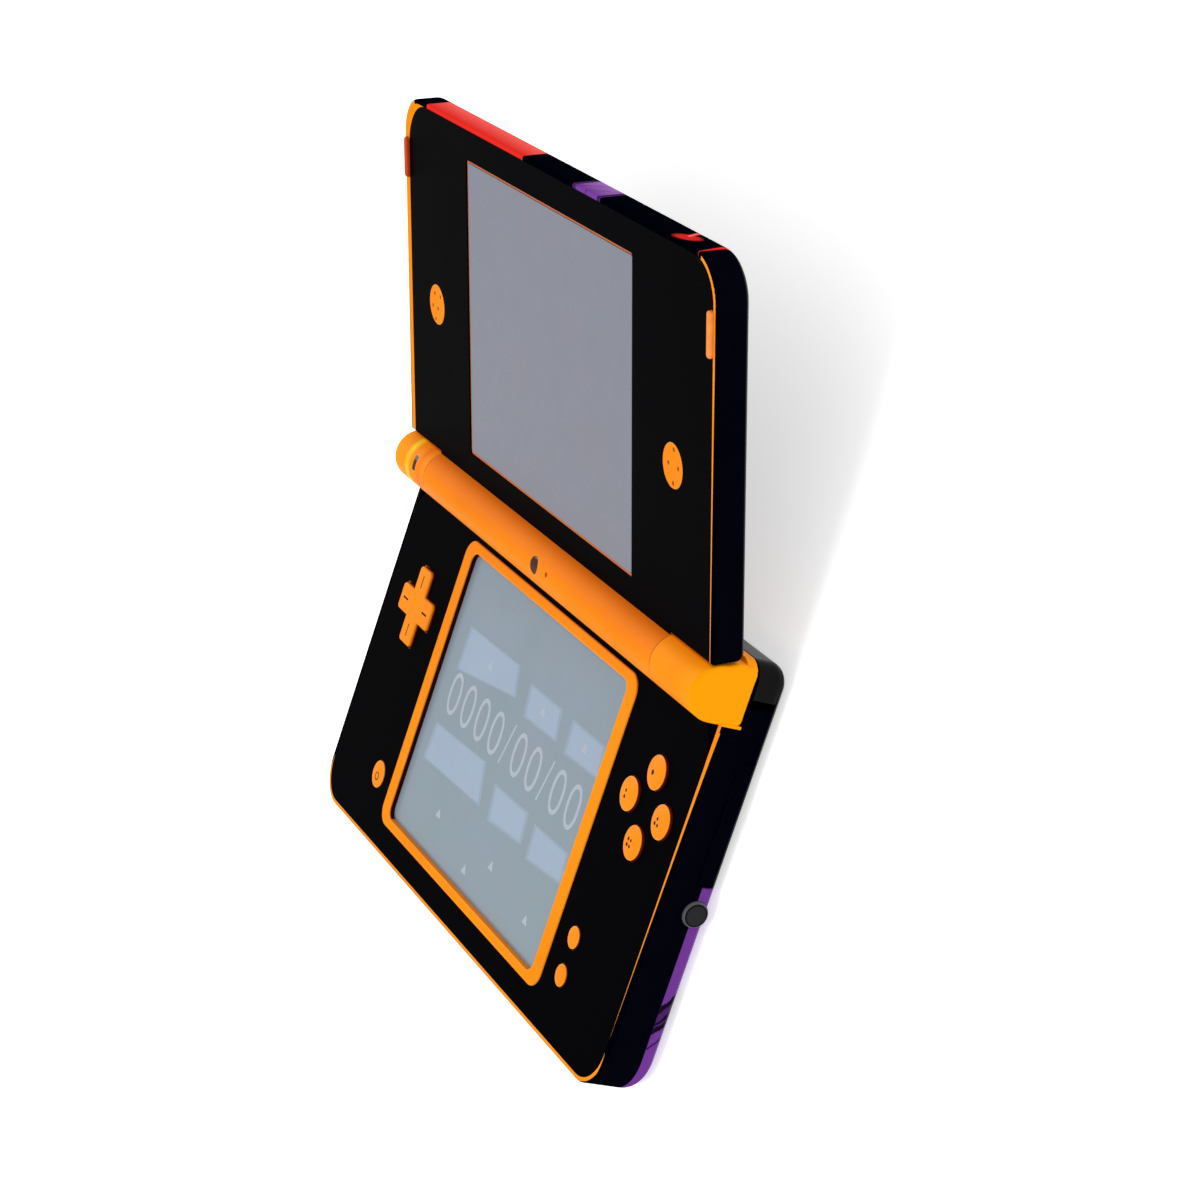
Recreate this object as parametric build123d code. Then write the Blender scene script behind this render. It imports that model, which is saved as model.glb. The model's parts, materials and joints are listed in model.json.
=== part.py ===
from build123d import *

import math
import os

# Handheld game console with two screens: a base, and a lid on a barrel hinge.
# Millimetres, +Z up. The origin is on the resting plane under the centre of the base.
# X runs to the right, Y to the hinge. The lid is drawn in its own frame: the origin is on
# the hinge axis, Y runs along the lid away from the hinge, Z out of the lid's inner face.

# Overall sizes
WIDTH = 161.0
DEPTH = 91.4
CORNER_R = 9.0
REAR_CORNER_R = 4.5
EDGE_R = 3.5
FOOT = 0.4
BASE_TOP = 12.2
WALL = 1.6
FLOOR_TOP = 1.8
DECK_TOP = 11.9
DECK_UNDER = 10.4
SEAM_Z = 11.6
REAR_SEAM_Z = 8.0
REAR_LEDGE_Z = 10.7
REAR_Y = 31.0
SLIP = 0.1

# Hinge
HINGE_Y = 38.2
HINGE_Z = 15.12
BARREL_R = 5.8
BARREL_BORE_R = 4.2
BARREL_HALF = 61.5
KNUCKLE_IN = 61.8
KNUCKLE_FRONT = HINGE_Y - BARREL_R
KNUCKLE_REAR = 6.5
KNUCKLE_BULGE = -2.3
KNUCKLE_BORE_R = 3.0
RUNNING_GAP = 0.05
TROUGH_R = 6.3
LID_ANGLE = 20.0

# Middle of the open console's depth, measured from the middle of the base
OPEN_CENTRE_Y = 36.34

# Status light
LIGHT_X = -68.1
LIGHT_W = 1.8
LIGHT_L = 3.4
LIGHT_DEPTH = 1.0

# Lid, in its own frame
LID_LENGTH = 83.9
LID_START = 6.2
LID_BACK = -6.08
LID_BACK_T = 1.5
LID_FRAME_UNDER = -0.4
LID_SEAM = 0.8
LID_PLATE = 1.1
LID_FACE = 1.42
LID_SKIN_W = 158.8
LID_SKIN_TOP = 82.9
LID_SKIN_END = 6.45
LID_SKIN_MIDDLE = 5.8

# Face of the base
SKIN_W = 158.6
SKIN_FRONT = -44.7
SKIN_REAR = 31.8
SKIN_R = 8.0
SCREEN_Y = -4.8
BEZEL_W = 92.5
BEZEL_D = 68.5
BEZEL_R = 4.0
BEZEL_TOP = 12.55
TOUCH_W = 84.5
TOUCH_D = 64.0
TOUCH_PANEL_W = 88.0
TOUCH_PANEL_D = 67.0
TOUCH_PANEL_TOP = 11.25
TOUCH_PANEL_T = 1.0

# Controls
DPAD_X = -61.6
DPAD_Y = 7.3
DPAD_SPAN = 18.0
DPAD_ARM = 6.3
DPAD_TOP = 12.95
DPAD_FLANGE_R = 10.4
DPAD_PIVOT_Z = 8.4
DPAD_BALL_R = 1.3
DPAD_GAP = 0.45
FACE_X = 64.2
FACE_Y = 8.9
FACE_PITCH = 7.45
FACE_R = 3.5
FACE_TOP = 13.1
FACE_TRAVEL = 1.0
SMALL_R = 2.3
SMALL_TOP = 12.75
SMALL_TRAVEL = 0.5
SMALL_X = 54.0
SMALL_YS = (-23.4, -31.7)
POWER_X = -53.9
POWER_Y = -31.1
POWER_R = 3.1
POWER_TOP = 12.5
BUTTON_GAP = 0.2
FLANGE_TOP = 10.3
FLANGE_T = 0.9
FLANGE_OUT = 0.75
ROCKER_Y = 5.0
ROCKER_Z = 6.4
ROCKER_L = 14.0
ROCKER_H = 3.0

# Shoulder buttons
SHOULDER_IN = 57.0
SHOULDER_Z0 = 2.3
SHOULDER_Z1 = 7.6
SHOULDER_T = 2.2
SHOULDER_FRONT = 38.6
SHOULDER_PIN_X = 58.6
SHOULDER_PIN_Y = 42.4
SHOULDER_PIN_R = 0.8
SHOULDER_TRAVEL = 1.6
SPRING_FOOT_X = 62.4
SPRING_FOOT_Y = 36.4

# Stylus
STYLUS_Y = -5.3
STYLUS_Z = 4.0
STYLUS_R = 2.4
STYLUS_LEN = 96.0
STYLUS_END_R = 2.75

# Card slot, memory card and battery
SLOT_W = 33.5
SLOT_Z0 = 2.1
SLOT_Z1 = 6.2
SLOT_FRONT = 10.2
HOUSING_WALL = 0.4
COVER_Y0 = 0.7
COVER_Y1 = 26.2
COVER_Z0 = 1.5
COVER_Z1 = 5.8
COVER_T = 1.4
CARD_Y0 = 1.35
CARD_Y1 = 25.55
CARD_Z0 = 2.35
CARD_Z1 = 4.7
CARD_X0 = 46.8
BATTERY_X0 = -35.0
BATTERY_X1 = 25.0
BATTERY_Y0 = -41.5
BATTERY_Y1 = -10.0
BATTERY_Z0 = 2.0
BATTERY_Z1 = 6.4
BATTERY_COVER_SCREW_Y = (BATTERY_Y0 + BATTERY_Y1) / 2

# Audio jack, in the front wall
JACK_X = 66.0
JACK_Z = 6.0
JACK_R = 1.8

# Boards
LCD_TOP = 10.1
LCD_T = 1.4
BACKLIGHT_T = 1.3
LCD_W = 90.0
LCD_D = 68.0
BOARD_Z = 5.6
BOARD_T = 1.0
RIGHT_BOARD_Z = 6.9
LEFT_BOARD_Z = 5.9
BUTTON_BOARD_T = 0.8
LEFT_STUDS = ((-74.6, -4.4), (-74.6, 20.4), (-48.8, 20.4), (-48.8, -36.5))
RIGHT_STUDS = ((51.4, 19.3), (62.0, -17.5), (74.8, -17.5))
MAIN_POSTS = ((-41.0, 28.0), (44.0, 28.0))

# Fasteners
POST_R = 2.5
SCREW_R = 0.9
SCREW_HEAD_R = 1.7
CORNER_POSTS = ((-73.5, -36.5), (73.5, -36.5), (-73.5, 31.5), (73.5, 31.5))
FOOT_SPOTS = ((-66.0, -41.0), (66.0, -41.0), (-44.0, 42.3), (44.0, 42.3))

# Lid features
UPPER_X = 0.2
UPPER_Y = 43.9
UPPER_W = 85.4
UPPER_H = 64.0
SPEAKER_X = 62.3
SPEAKER_Y = 40.0
GRILLE_R = 4.5
GRILLE_HOLE_R = 0.5
LEFT_GRILLE = ((-1.3, 2.3), (2.1, 2.2), (-2.5, -0.7), (0.5, -0.8), (-0.9, -3.4))
RIGHT_GRILLE = ((0.5, 3.3), (-1.9, 0.1), (2.5, 0.1), (0.3, -3.4))
BUMPER_X = 78.7
BUMPER_Y = 69.8
BUMPER_L = 9.0
BUMPER_W = 1.7
BUMPER_TOP = 2.2
LENS_X = 3.2
MIC_X = 9.8
LENS_ANGLE = 78.0
LENS_R = 1.9
CAMERA_X = 66.0
CAMERA_Y = 71.0


def box(x0, x1, y0, y1, z0, z1):
    """A box from its low corner to its high corner."""
    block = Box(x1 - x0, y1 - y0, z1 - z0, align=(Align.MIN, Align.MIN, Align.MIN))
    return Pos(x0, y0, z0) * block


def cyl(x, y, z0, z1, radius):
    """An upright cylinder."""
    rod = Cylinder(radius, z1 - z0, align=(Align.CENTER, Align.CENTER, Align.MIN))
    return Pos(x, y, z0) * rod


def cyl_x(x0, x1, y, z, radius):
    """A cylinder along X."""
    rod = Cylinder(radius, x1 - x0, align=(Align.CENTER, Align.CENTER, Align.MIN))
    return Pos(x0, y, z) * Rot(0, 90, 0) * rod


def cyl_y(y0, y1, x, z, radius):
    """A cylinder along Y."""
    rod = Cylinder(radius, y1 - y0, align=(Align.CENTER, Align.CENTER, Align.MIN))
    return Pos(x, y0, z) * Rot(-90, 0, 0) * rod


def slab(x0, x1, y0, y1, z0, z1, radius):
    """A flat block whose four upright edges are rounded."""
    outline = RectangleRounded(x1 - x0, y1 - y0, radius)
    middle = Pos((x0 + x1) / 2, (y0 + y1) / 2, z0)
    return extrude(middle * outline, z1 - z0)


def plan(inset, z0, z1):
    """The base's outline, inset all round, as a block: its rear corners are tighter."""
    outline = Rectangle(WIDTH - 2 * inset, DEPTH - 2 * inset)
    outline = fillet(outline.vertices().group_by(Axis.Y)[-1], REAR_CORNER_R - inset)
    outline = fillet(outline.vertices().group_by(Axis.Y)[0], CORNER_R - inset)
    return Pos(0, 0, z0) * extrude(outline, z1 - z0)


def mirror_x(shape):
    """The shape on the other side of the middle plane."""
    return mirror(shape, Plane.YZ)


def joined(shapes):
    """One shape from several that touch or overlap."""
    shapes = list(shapes)
    whole = shapes[0]
    for shape in shapes[1:]:
        whole = whole + shape
    return whole


def group(shapes):
    """Separate solids that share one node."""
    solids = []
    for shape in shapes:
        solids.extend(shape.solids())
    return Compound(children=solids)


# ---------------------------------------------------------------- base shells

def base_outer():
    """The base's outer form, with its large rounded bottom edge."""
    body = plan(0, FOOT, BASE_TOP)
    bottom = body.faces().sort_by(Axis.Z)[0]
    return fillet(bottom.edges(), EDGE_R)


def hinge_trough(radius):
    """The round trough that the lid's barrel turns in, and all above the rear ledge."""
    half = BARREL_HALF + 0.3
    round_cut = cyl_x(-half, half, HINGE_Y, HINGE_Z, radius)
    above = box(-half, half, HINGE_Y, DEPTH, REAR_LEDGE_Z - (radius - TROUGH_R), 30)
    return round_cut + above


def knuckle(side):
    """One end block of the hinge: an arch over the pin, fuller at the rear."""
    length = WIDTH / 2 - KNUCKLE_IN
    foot = REAR_SEAM_Z - HINGE_Z
    front_side = Line((-BARREL_R, foot), (-BARREL_R, 0))
    arch = CenterArc((0, 0), BARREL_R, 0, 180)
    slope = Line((BARREL_R, 0), (KNUCKLE_REAR, KNUCKLE_BULGE))
    rear_side = Line((KNUCKLE_REAR, KNUCKLE_BULGE), (KNUCKLE_REAR, foot))
    bottom = Line((KNUCKLE_REAR, foot), (-BARREL_R, foot))
    profile = make_face(Curve() + [front_side, arch, slope, rear_side, bottom])
    for corner in ((KNUCKLE_REAR, KNUCKLE_BULGE), (KNUCKLE_REAR, foot), (-BARREL_R, foot)):
        profile = fillet(profile.vertices().sort_by_distance(corner)[0], 1.6)
    body = extrude(profile, length)
    body = fillet(body.faces().sort_by(Axis.Z)[-1].edges(), 0.9)
    end_plane = Plane(origin=(KNUCKLE_IN, HINGE_Y, HINGE_Z), x_dir=(0, 1, 0), z_dir=(1, 0, 0))
    body = end_plane.location * body
    body = body - cyl_x(KNUCKLE_IN - 1, WIDTH / 2 - 4.5, HINGE_Y, HINGE_Z, KNUCKLE_BORE_R)
    if side < 0:
        body = mirror_x(body) - light_slit(0, BARREL_R + 1)
    return body


def light_slit(gap, outer_r):
    """The slit in the left knuckle for the status light, less a gap all round."""
    x0, x1 = LIGHT_X - LIGHT_W / 2 + gap, LIGHT_X + LIGHT_W / 2 - gap
    ring = cyl_x(x0, x1, HINGE_Y, HINGE_Z, outer_r)
    ring = ring - cyl_x(x0, x1, HINGE_Y, HINGE_Z, BARREL_R - LIGHT_DEPTH + gap)
    reach = LIGHT_L / 2 - gap
    middle = HINGE_Y + 0.1
    front = box(x0, x1, middle - reach, middle + reach, HINGE_Z + 3, HINGE_Z + 7)
    return ring & front


def control_openings(gap):
    """The holes in the deck for every control, as cutting tools."""
    z0, z1 = DECK_UNDER - 1, BASE_TOP + 1
    tools = [dpad_cross(DPAD_GAP + gap, z0, z1)]
    for x, y in face_spots():
        tools.append(cyl(x, y, z0, z1, FACE_R + BUTTON_GAP + gap))
    for y in SMALL_YS:
        tools.append(cyl(SMALL_X, y, z0, z1, SMALL_R + BUTTON_GAP + gap))
    tools.append(cyl(POWER_X, POWER_Y, z0, z1, POWER_R + BUTTON_GAP + gap))
    return tools


def face_spots():
    """Centres of the four face buttons: top, left, right, bottom."""
    return (
        (FACE_X, FACE_Y + FACE_PITCH),
        (FACE_X - FACE_PITCH, FACE_Y),
        (FACE_X + FACE_PITCH, FACE_Y),
        (FACE_X, FACE_Y - FACE_PITCH),
    )


def dpad_cross(grow, z0, z1):
    """The D-pad's cross, grown all round."""
    half = DPAD_SPAN / 2 + grow
    arm = DPAD_ARM / 2 + grow
    radius = 1.0 + grow
    along = slab(DPAD_X - half, DPAD_X + half, DPAD_Y - arm, DPAD_Y + arm, z0, z1, radius)
    across = slab(DPAD_X - arm, DPAD_X + arm, DPAD_Y - half, DPAD_Y + half, z0, z1, radius)
    return along + across


def touch_block(width, depth, z0, z1, radius):
    """A block centred on the touch screen."""
    return slab(-width / 2, width / 2, SCREEN_Y - depth / 2, SCREEN_Y + depth / 2, z0, z1, radius)


def base_top_shell():
    rim = plan(0, SEAM_Z, BASE_TOP)
    rim = fillet(rim.faces().sort_by(Axis.Z)[-1].edges(), 0.5)
    rim = rim - skin_block(0.05, DECK_TOP, BASE_TOP + 1)
    deck = plan(WALL + SLIP, DECK_UNDER, DECK_TOP)
    front = (rim + deck) & box(-90, 90, -60, REAR_Y, 0, 20)
    rear = plan(0, REAR_SEAM_Z, BASE_TOP) & box(-90, 90, REAR_Y, 60, 0, 20)
    rear = rear - skin_block(0.05, DECK_TOP, BASE_TOP + 1)
    rear = rear - rear_cavity()
    rear = rear - hinge_trough(TROUGH_R)
    for side in (-1, 1):
        low, high = sorted((side * (KNUCKLE_IN - 0.01), side * 90))
        rear = rear - box(low, high, KNUCKLE_FRONT + 0.6, 60, 0, 30)
        rear = rear + rear_end(side)
    shell = front + rear
    bezel = touch_block(BEZEL_W, BEZEL_D, DECK_TOP - 0.5, BEZEL_TOP, BEZEL_R)
    bezel = fillet(bezel.faces().sort_by(Axis.Z)[-1].edges(), 0.35)
    shell = shell + bezel
    shell = shell - touch_block(TOUCH_W, TOUCH_D, 0, 20, 2.5)
    shell = shell - touch_block(TOUCH_PANEL_W + 0.2, TOUCH_PANEL_D + 0.2, 0, TOUCH_PANEL_TOP + 0.05, 3.0)
    for tool in control_openings(0):
        shell = shell - tool
    for x, y in CORNER_POSTS:
        shell = shell + cyl(x, y, 8.1, DECK_UNDER + 0.2, POST_R)
        shell = shell - cyl(x, y, 5.0, DECK_UNDER + 0.2, SCREW_R)
    for x, y in LEFT_STUDS:
        shell = shell + cyl(x, y, LEFT_BOARD_Z + BUTTON_BOARD_T + 0.05, DECK_UNDER + 0.2, 1.0)
    for x, y in RIGHT_STUDS:
        shell = shell + cyl(x, y, RIGHT_BOARD_Z + BUTTON_BOARD_T + 0.05, DECK_UNDER + 0.2, 1.0)
    return shell


def rear_cavity():
    """The hollow under the deck's rear part, below the trough's skin."""
    hollow = plan(WALL, 0, DECK_UNDER) & box(-KNUCKLE_IN + 1, KNUCKLE_IN - 1, 0, 60, 0, 20)
    hollow = hollow - hinge_trough(TROUGH_R + 1.2)
    front_sides = plan(WALL, 0, DECK_UNDER) & box(-90, 90, 0, KNUCKLE_FRONT, 0, 20)
    front_sides = front_sides - hinge_trough(TROUGH_R + 1.2)
    return hollow + front_sides


def rear_end(side):
    """The knuckle and the narrow ledge behind it."""
    low, high = sorted((side * KNUCKLE_IN, side * 90))
    ledge = plan(0, REAR_SEAM_Z, REAR_LEDGE_Z - 0.6)
    ledge = ledge & box(low, high, HINGE_Y + KNUCKLE_REAR - 0.8, 60, 0, 20)
    return knuckle(side) + ledge


def skin_block(grow, z0, z1):
    """The face skin's outline as a block."""
    half = SKIN_W / 2 + grow
    return slab(-half, half, SKIN_FRONT - grow, SKIN_REAR + grow, z0, z1, SKIN_R + grow)


def base_face_skin():
    skin = skin_block(0, DECK_TOP, BASE_TOP)
    skin = skin - touch_block(BEZEL_W + 0.1, BEZEL_D + 0.1, 0, 20, BEZEL_R + 0.05)
    for tool in control_openings(0.05):
        skin = skin - tool
    return skin


def base_bottom_shell():
    body = base_outer() & box(-90, 90, -60, REAR_Y - 0.05, 0, SEAM_Z)
    rear = base_outer() & box(-90, 90, REAR_Y - 0.1, 60, 0, REAR_SEAM_Z - 0.02)
    shell = body + rear
    cavity = plan(WALL, FLOOR_TOP, 20)
    cavity = fillet(cavity.faces().sort_by(Axis.Z)[0].edges(), 1.8)
    shell = shell - cavity
    for x, y in CORNER_POSTS:
        shell = shell + cyl(x, y, 1.2, 8.0, POST_R)
    for x, y in MAIN_POSTS:
        shell = shell + cyl(x, y, 1.2, BOARD_Z - 0.05, 1.8)
    shell = shell + stylus_silo()
    shell = shell + battery_walls()
    for side in (-1, 1):
        shell = shell - shoulder_space(side)
        shell = shell + shoulder_bosses(side)
        shell = shell - shoulder_pin_hole(side)
    for tool in bottom_openings():
        shell = shell - tool
    return shell


def bottom_openings():
    """Every opening through the bottom shell, as cutting tools."""
    half = SLOT_W / 2
    rocker = ROCKER_L / 2 + 0.25
    tools = [
        cyl_x(-17, 82, STYLUS_Y, STYLUS_Z, STYLUS_R + RUNNING_GAP),
        cyl_x(76.4, 82, STYLUS_Y, STYLUS_Z, STYLUS_END_R + RUNNING_GAP),
        battery_opening(),
        box(-half, half, 40, 50, SLOT_Z0, SLOT_Z1),
        box(-half - 0.5, half + 0.5, 30, 45.2, SLOT_Z0 - 0.5, SLOT_Z1 + 0.5),
        cover_pocket(),
        box(30.4, 39.6, 40, 50, 2.6, 6.2),
        box(29.9, 40.1, 34, 44.2, 2.1, 6.8),
        cyl_y(-50, -40, JACK_X, JACK_Z, 2.4),
        box(-85, -78, ROCKER_Y - rocker, ROCKER_Y + rocker,
            ROCKER_Z - ROCKER_H / 2 - 0.2, ROCKER_Z + ROCKER_H / 2 + 0.2),
    ]
    for x, y in CORNER_POSTS:
        tools.append(cyl(x, y, 0, 9, SCREW_R))
        tools.append(cyl(x, y, 0, FOOT + 1.0, SCREW_HEAD_R + 0.15))
    for x, y in FOOT_SPOTS:
        tools.append(slab(x - 4, x + 4, y - 1.5, y + 1.5, 0, FOOT + 0.5, 1.4))
    return tools


def stylus_silo():
    """The guide around the stylus, joined to the floor."""
    reach = STYLUS_R + 0.75
    return box(-18, 78.6, STYLUS_Y - reach, STYLUS_Y + reach, FLOOR_TOP - 0.4, 5.2)


def battery_walls():
    """The wall around the battery bay."""
    bay = box(BATTERY_X0 - 1.3, BATTERY_X1 + 1.3, BATTERY_Y0 - 1.3, BATTERY_Y1 + 1.3, 1.2, 6.0)
    return bay - box(BATTERY_X0 - 0.3, BATTERY_X1 + 0.3, BATTERY_Y0 - 0.3, BATTERY_Y1 + 0.3, 0, 7)


def battery_opening():
    """The stepped opening in the floor that the battery cover closes."""
    opening = box(BATTERY_X0 - 0.3, BATTERY_X1 + 0.3, BATTERY_Y0 - 0.3, BATTERY_Y1 + 0.3, 0, 3)
    recess = battery_cover_plate(0.12)
    return opening + recess


def battery_cover_plate(grow):
    """The cover's outline as a block at the floor's outside."""
    return slab(BATTERY_X0 - 3 - grow, BATTERY_X1 + 3 + grow, BATTERY_Y0 - 1.5 - grow,
                BATTERY_Y1 + 1.2 + grow, 0, FOOT + 0.8 + grow, 2.0)


def battery_cover():
    plate = battery_cover_plate(0) & box(-90, 90, -60, 60, FOOT, 5)
    lip = box(BATTERY_X0, BATTERY_X1, BATTERY_Y0, BATTERY_Y1, FOOT + 0.7, FOOT + 1.45)
    cover = plate + lip
    for x in (BATTERY_X0 - 1.2, BATTERY_X1 + 1.2):
        cover = cover - cyl(x, BATTERY_COVER_SCREW_Y, 0, 5, 0.75)
        cover = cover - cyl(x, BATTERY_COVER_SCREW_Y, 0, FOOT + 0.35, 1.3)
    return cover


def battery_cover_screws():
    screws = []
    for x in (BATTERY_X0 - 1.2, BATTERY_X1 + 1.2):
        head = cyl(x, BATTERY_COVER_SCREW_Y, FOOT + 0.02, FOOT + 0.33, 1.2)
        shank = cyl(x, BATTERY_COVER_SCREW_Y, FOOT + 0.3, FOOT + 0.78, 0.6)
        slot = cross_slot(x, BATTERY_COVER_SCREW_Y, FOOT, 1.5, 0.15)
        screws.append(head + shank - slot)
    return group(screws)


def cross_slot(x, y, z, length, depth):
    """A cross recess in a screw head that faces down."""
    wide = length / 2
    thin = length / 7
    return (box(x - wide, x + wide, y - thin, y + thin, z - 1, z + depth)
            + box(x - thin, x + thin, y - wide, y + wide, z - 1, z + depth))


def case_screws():
    screws = []
    for x, y in CORNER_POSTS:
        head = cyl(x, y, FOOT + 0.05, FOOT + 0.98, SCREW_HEAD_R)
        shank = cyl(x, y, FOOT + 0.9, 9.6, SCREW_R - 0.06)
        screws.append(head + shank - cross_slot(x, y, FOOT, 2.2, 0.5))
    return group(screws)


def rubber_feet():
    feet = []
    for x, y in FOOT_SPOTS:
        feet.append(slab(x - 3.9, x + 3.9, y - 1.4, y + 1.4, 0, FOOT + 0.5, 1.3))
    return group(feet)


def battery():
    cell = slab(BATTERY_X0, BATTERY_X1, BATTERY_Y0, BATTERY_Y1, BATTERY_Z0, BATTERY_Z1, 1.2)
    return cell - box(BATTERY_X1 - 6, BATTERY_X1 - 4.5, BATTERY_Y1 - 1, 0, 3, 5)


# ---------------------------------------------------------------- screens and boards

def touch_panel():
    low = TOUCH_PANEL_TOP - TOUCH_PANEL_T
    return touch_block(TOUCH_PANEL_W, TOUCH_PANEL_D, low, TOUCH_PANEL_TOP, 2.9)


def lower_lcd_panel():
    return touch_block(LCD_W - 3, LCD_D - 2, LCD_TOP - LCD_T, LCD_TOP, 0.6)


def lower_backlight():
    top = LCD_TOP - LCD_T - 0.05
    return touch_block(LCD_W - 2, LCD_D - 1, top - BACKLIGHT_T, top, 0.8)


def main_board():
    board = slab(-44, 47, -1.4, 30.8, BOARD_Z, BOARD_Z + BOARD_T, 1.0)
    slot = SLOT_W / 2 + HOUSING_WALL + 0.6
    board = board - box(-slot, slot, SLOT_FRONT - 1, 40, 0, 20)
    for x, y in MAIN_POSTS:
        board = board - cyl(x, y, 0, 20, 1.1)
    return board


def board_chips():
    spots = ((-33, 14, 13, 13, 1.2), (-32, 3.5, 8, 6, 1.0), (-12, 3.5, 9, 7, 1.0),
             (4, 3.2, 6, 6, 0.8), (28, 6, 11, 9, 1.1), (39, 5, 5, 5, 0.8))
    chips = []
    for x, y, width, depth, height in spots:
        top = BOARD_Z - 0.02
        chips.append(box(x - width / 2, x + width / 2, y - depth / 2, y + depth / 2, top - height, top))
    return group(chips)


def shield_can():
    can = box(22, 44, 14, 26, BOARD_Z - 2.0, BOARD_Z - 0.02)
    return can - box(22.3, 43.7, 14.3, 25.7, BOARD_Z - 1.7, BOARD_Z + 1)


def left_button_board():
    top = LEFT_BOARD_Z + BUTTON_BOARD_T
    board = slab(-76, -47, -6, 22, LEFT_BOARD_Z, top, 1.0)
    board = board + slab(-60, -47, -38, -4, LEFT_BOARD_Z, top, 1.0)
    board = board + cyl(DPAD_X, DPAD_Y, LEFT_BOARD_Z + 0.1, DPAD_PIVOT_Z - 0.2, 1.2)
    return board - Pos(DPAD_X, DPAD_Y, DPAD_PIVOT_Z) * Sphere(DPAD_BALL_R + RUNNING_GAP)


def right_button_board():
    board = slab(50, 76, -20, 21, RIGHT_BOARD_Z, RIGHT_BOARD_Z + BUTTON_BOARD_T, 1.0)
    tail = slab(50, 59, -37, -18, RIGHT_BOARD_Z, RIGHT_BOARD_Z + BUTTON_BOARD_T, 1.0)
    return board + tail


def dome_sheet(x0, x1, y0, y1, z, spots, dome_r, dome_h):
    """A rubber sheet with a low dome under each button."""
    sheet = slab(x0, x1, y0, y1, z, z + 0.3, 1.5)
    for x, y in spots:
        dome = cyl(x, y, z + 0.2, z + dome_h, dome_r)
        dome = fillet(dome.faces().sort_by(Axis.Z)[-1].edges(), 0.12)
        sheet = sheet + dome
    return sheet


def dpad_membrane():
    spots = []
    for index in range(4):
        angle = math.radians(90 * index)
        spots.append((DPAD_X + 6.2 * math.cos(angle), DPAD_Y + 6.2 * math.sin(angle)))
    z = LEFT_BOARD_Z + 0.85
    reach = 10.5
    sheet = dome_sheet(DPAD_X - reach, DPAD_X + reach, DPAD_Y - reach, DPAD_Y + reach, z, spots, 1.9, 0.65)
    return sheet - cyl(DPAD_X, DPAD_Y, 0, 20, 2.0)


def face_button_membrane():
    z = RIGHT_BOARD_Z + 0.85
    reach = FACE_PITCH + 3.8
    return dome_sheet(FACE_X - reach, FACE_X + reach, FACE_Y - reach, FACE_Y + reach, z,
                      face_spots(), 2.0, 0.6)


def small_membranes():
    """The sheet under the two small buttons, and the one under the power button."""
    spots = [(SMALL_X, y) for y in SMALL_YS]
    pair = dome_sheet(SMALL_X - 3.4, SMALL_X + 3.4, SMALL_YS[1] - 3.6, SMALL_YS[0] + 3.6,
                      RIGHT_BOARD_Z + 0.85, spots, 1.5, 1.1)
    single = dome_sheet(POWER_X - 4, POWER_X + 4, POWER_Y - 4, POWER_Y + 4,
                        LEFT_BOARD_Z + 0.85, ((POWER_X, POWER_Y),), 1.8, 2.1)
    return group([pair, single])


# ---------------------------------------------------------------- controls

def dpad():
    cross = dpad_cross(0, 9.3, DPAD_TOP)
    cross = fillet(cross.faces().sort_by(Axis.Z)[-1].edges(), 0.45)
    dish = Pos(DPAD_X, DPAD_Y, DPAD_TOP + 7.7) * Sphere(8.0)
    cross = cross - dish
    flange = cyl(DPAD_X, DPAD_Y, 8.7, 9.5, DPAD_FLANGE_R)
    pad = cross + flange
    for angle in (0, 90, 180, 270):
        pad = pad - dpad_dash(angle)
    return pad - Pos(DPAD_X, DPAD_Y, DPAD_PIVOT_Z) * Sphere(DPAD_BALL_R + RUNNING_GAP)


def dpad_dash(angle):
    """One shallow groove along an arm."""
    groove = box(4.3, 7.3, -0.25, 0.25, DPAD_TOP - 0.25, DPAD_TOP + 1)
    return Pos(DPAD_X, DPAD_Y, 0) * Rot(0, 0, angle) * groove


def dpad_pivot():
    return Pos(DPAD_X, DPAD_Y, DPAD_PIVOT_Z) * Sphere(DPAD_BALL_R)


def round_button(x, y, radius, top, flange_out, crown):
    """A round key with a domed top and a flange that stays under the deck."""
    stem = cyl(x, y, FLANGE_TOP - FLANGE_T, top, radius)
    ball_r = (radius * radius + crown * crown) / (2 * crown)
    ball = Pos(x, y, top - ball_r) * Sphere(ball_r)
    stem = stem & (ball + cyl(x, y, 0, top - crown - 0.2, radius + 1))
    flange = cyl(x, y, FLANGE_TOP - FLANGE_T, FLANGE_TOP, radius + flange_out)
    return stem + flange


def face_button(index):
    x, y = face_spots()[index]
    return round_button(x, y, FACE_R, FACE_TOP, FLANGE_OUT, 0.35)


def small_button(index):
    return round_button(SMALL_X, SMALL_YS[index], SMALL_R, SMALL_TOP, FLANGE_OUT, 0.3)


def power_button():
    button = round_button(POWER_X, POWER_Y, POWER_R, POWER_TOP, FLANGE_OUT, 0.2)
    return button


def volume_rocker():
    half = ROCKER_L / 2
    low, high = ROCKER_Z - ROCKER_H / 2, ROCKER_Z + ROCKER_H / 2
    cap = box(-WIDTH / 2 - 0.7, -77.6, ROCKER_Y - half, ROCKER_Y + half, low, high)
    outer = cap.faces().sort_by(Axis.X)[0]
    cap = fillet(outer.edges(), 0.5)
    flange = box(-78.3, -77.4, ROCKER_Y - half - 0.7, ROCKER_Y + half + 0.7, low - 0.5, high + 0.5)
    return cap + flange


def volume_switch():
    body = box(-76.2, -72.8, ROCKER_Y - 4, ROCKER_Y + 4, LEFT_BOARD_Z + 0.82, LEFT_BOARD_Z + 2.2)
    tips = [box(-76.5, -76.0, ROCKER_Y + y - 0.6, ROCKER_Y + y + 0.6, 7.0, 7.8) for y in (-2.6, 2.6)]
    return joined([body] + tips)


# ---------------------------------------------------------------- shoulder buttons

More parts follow.
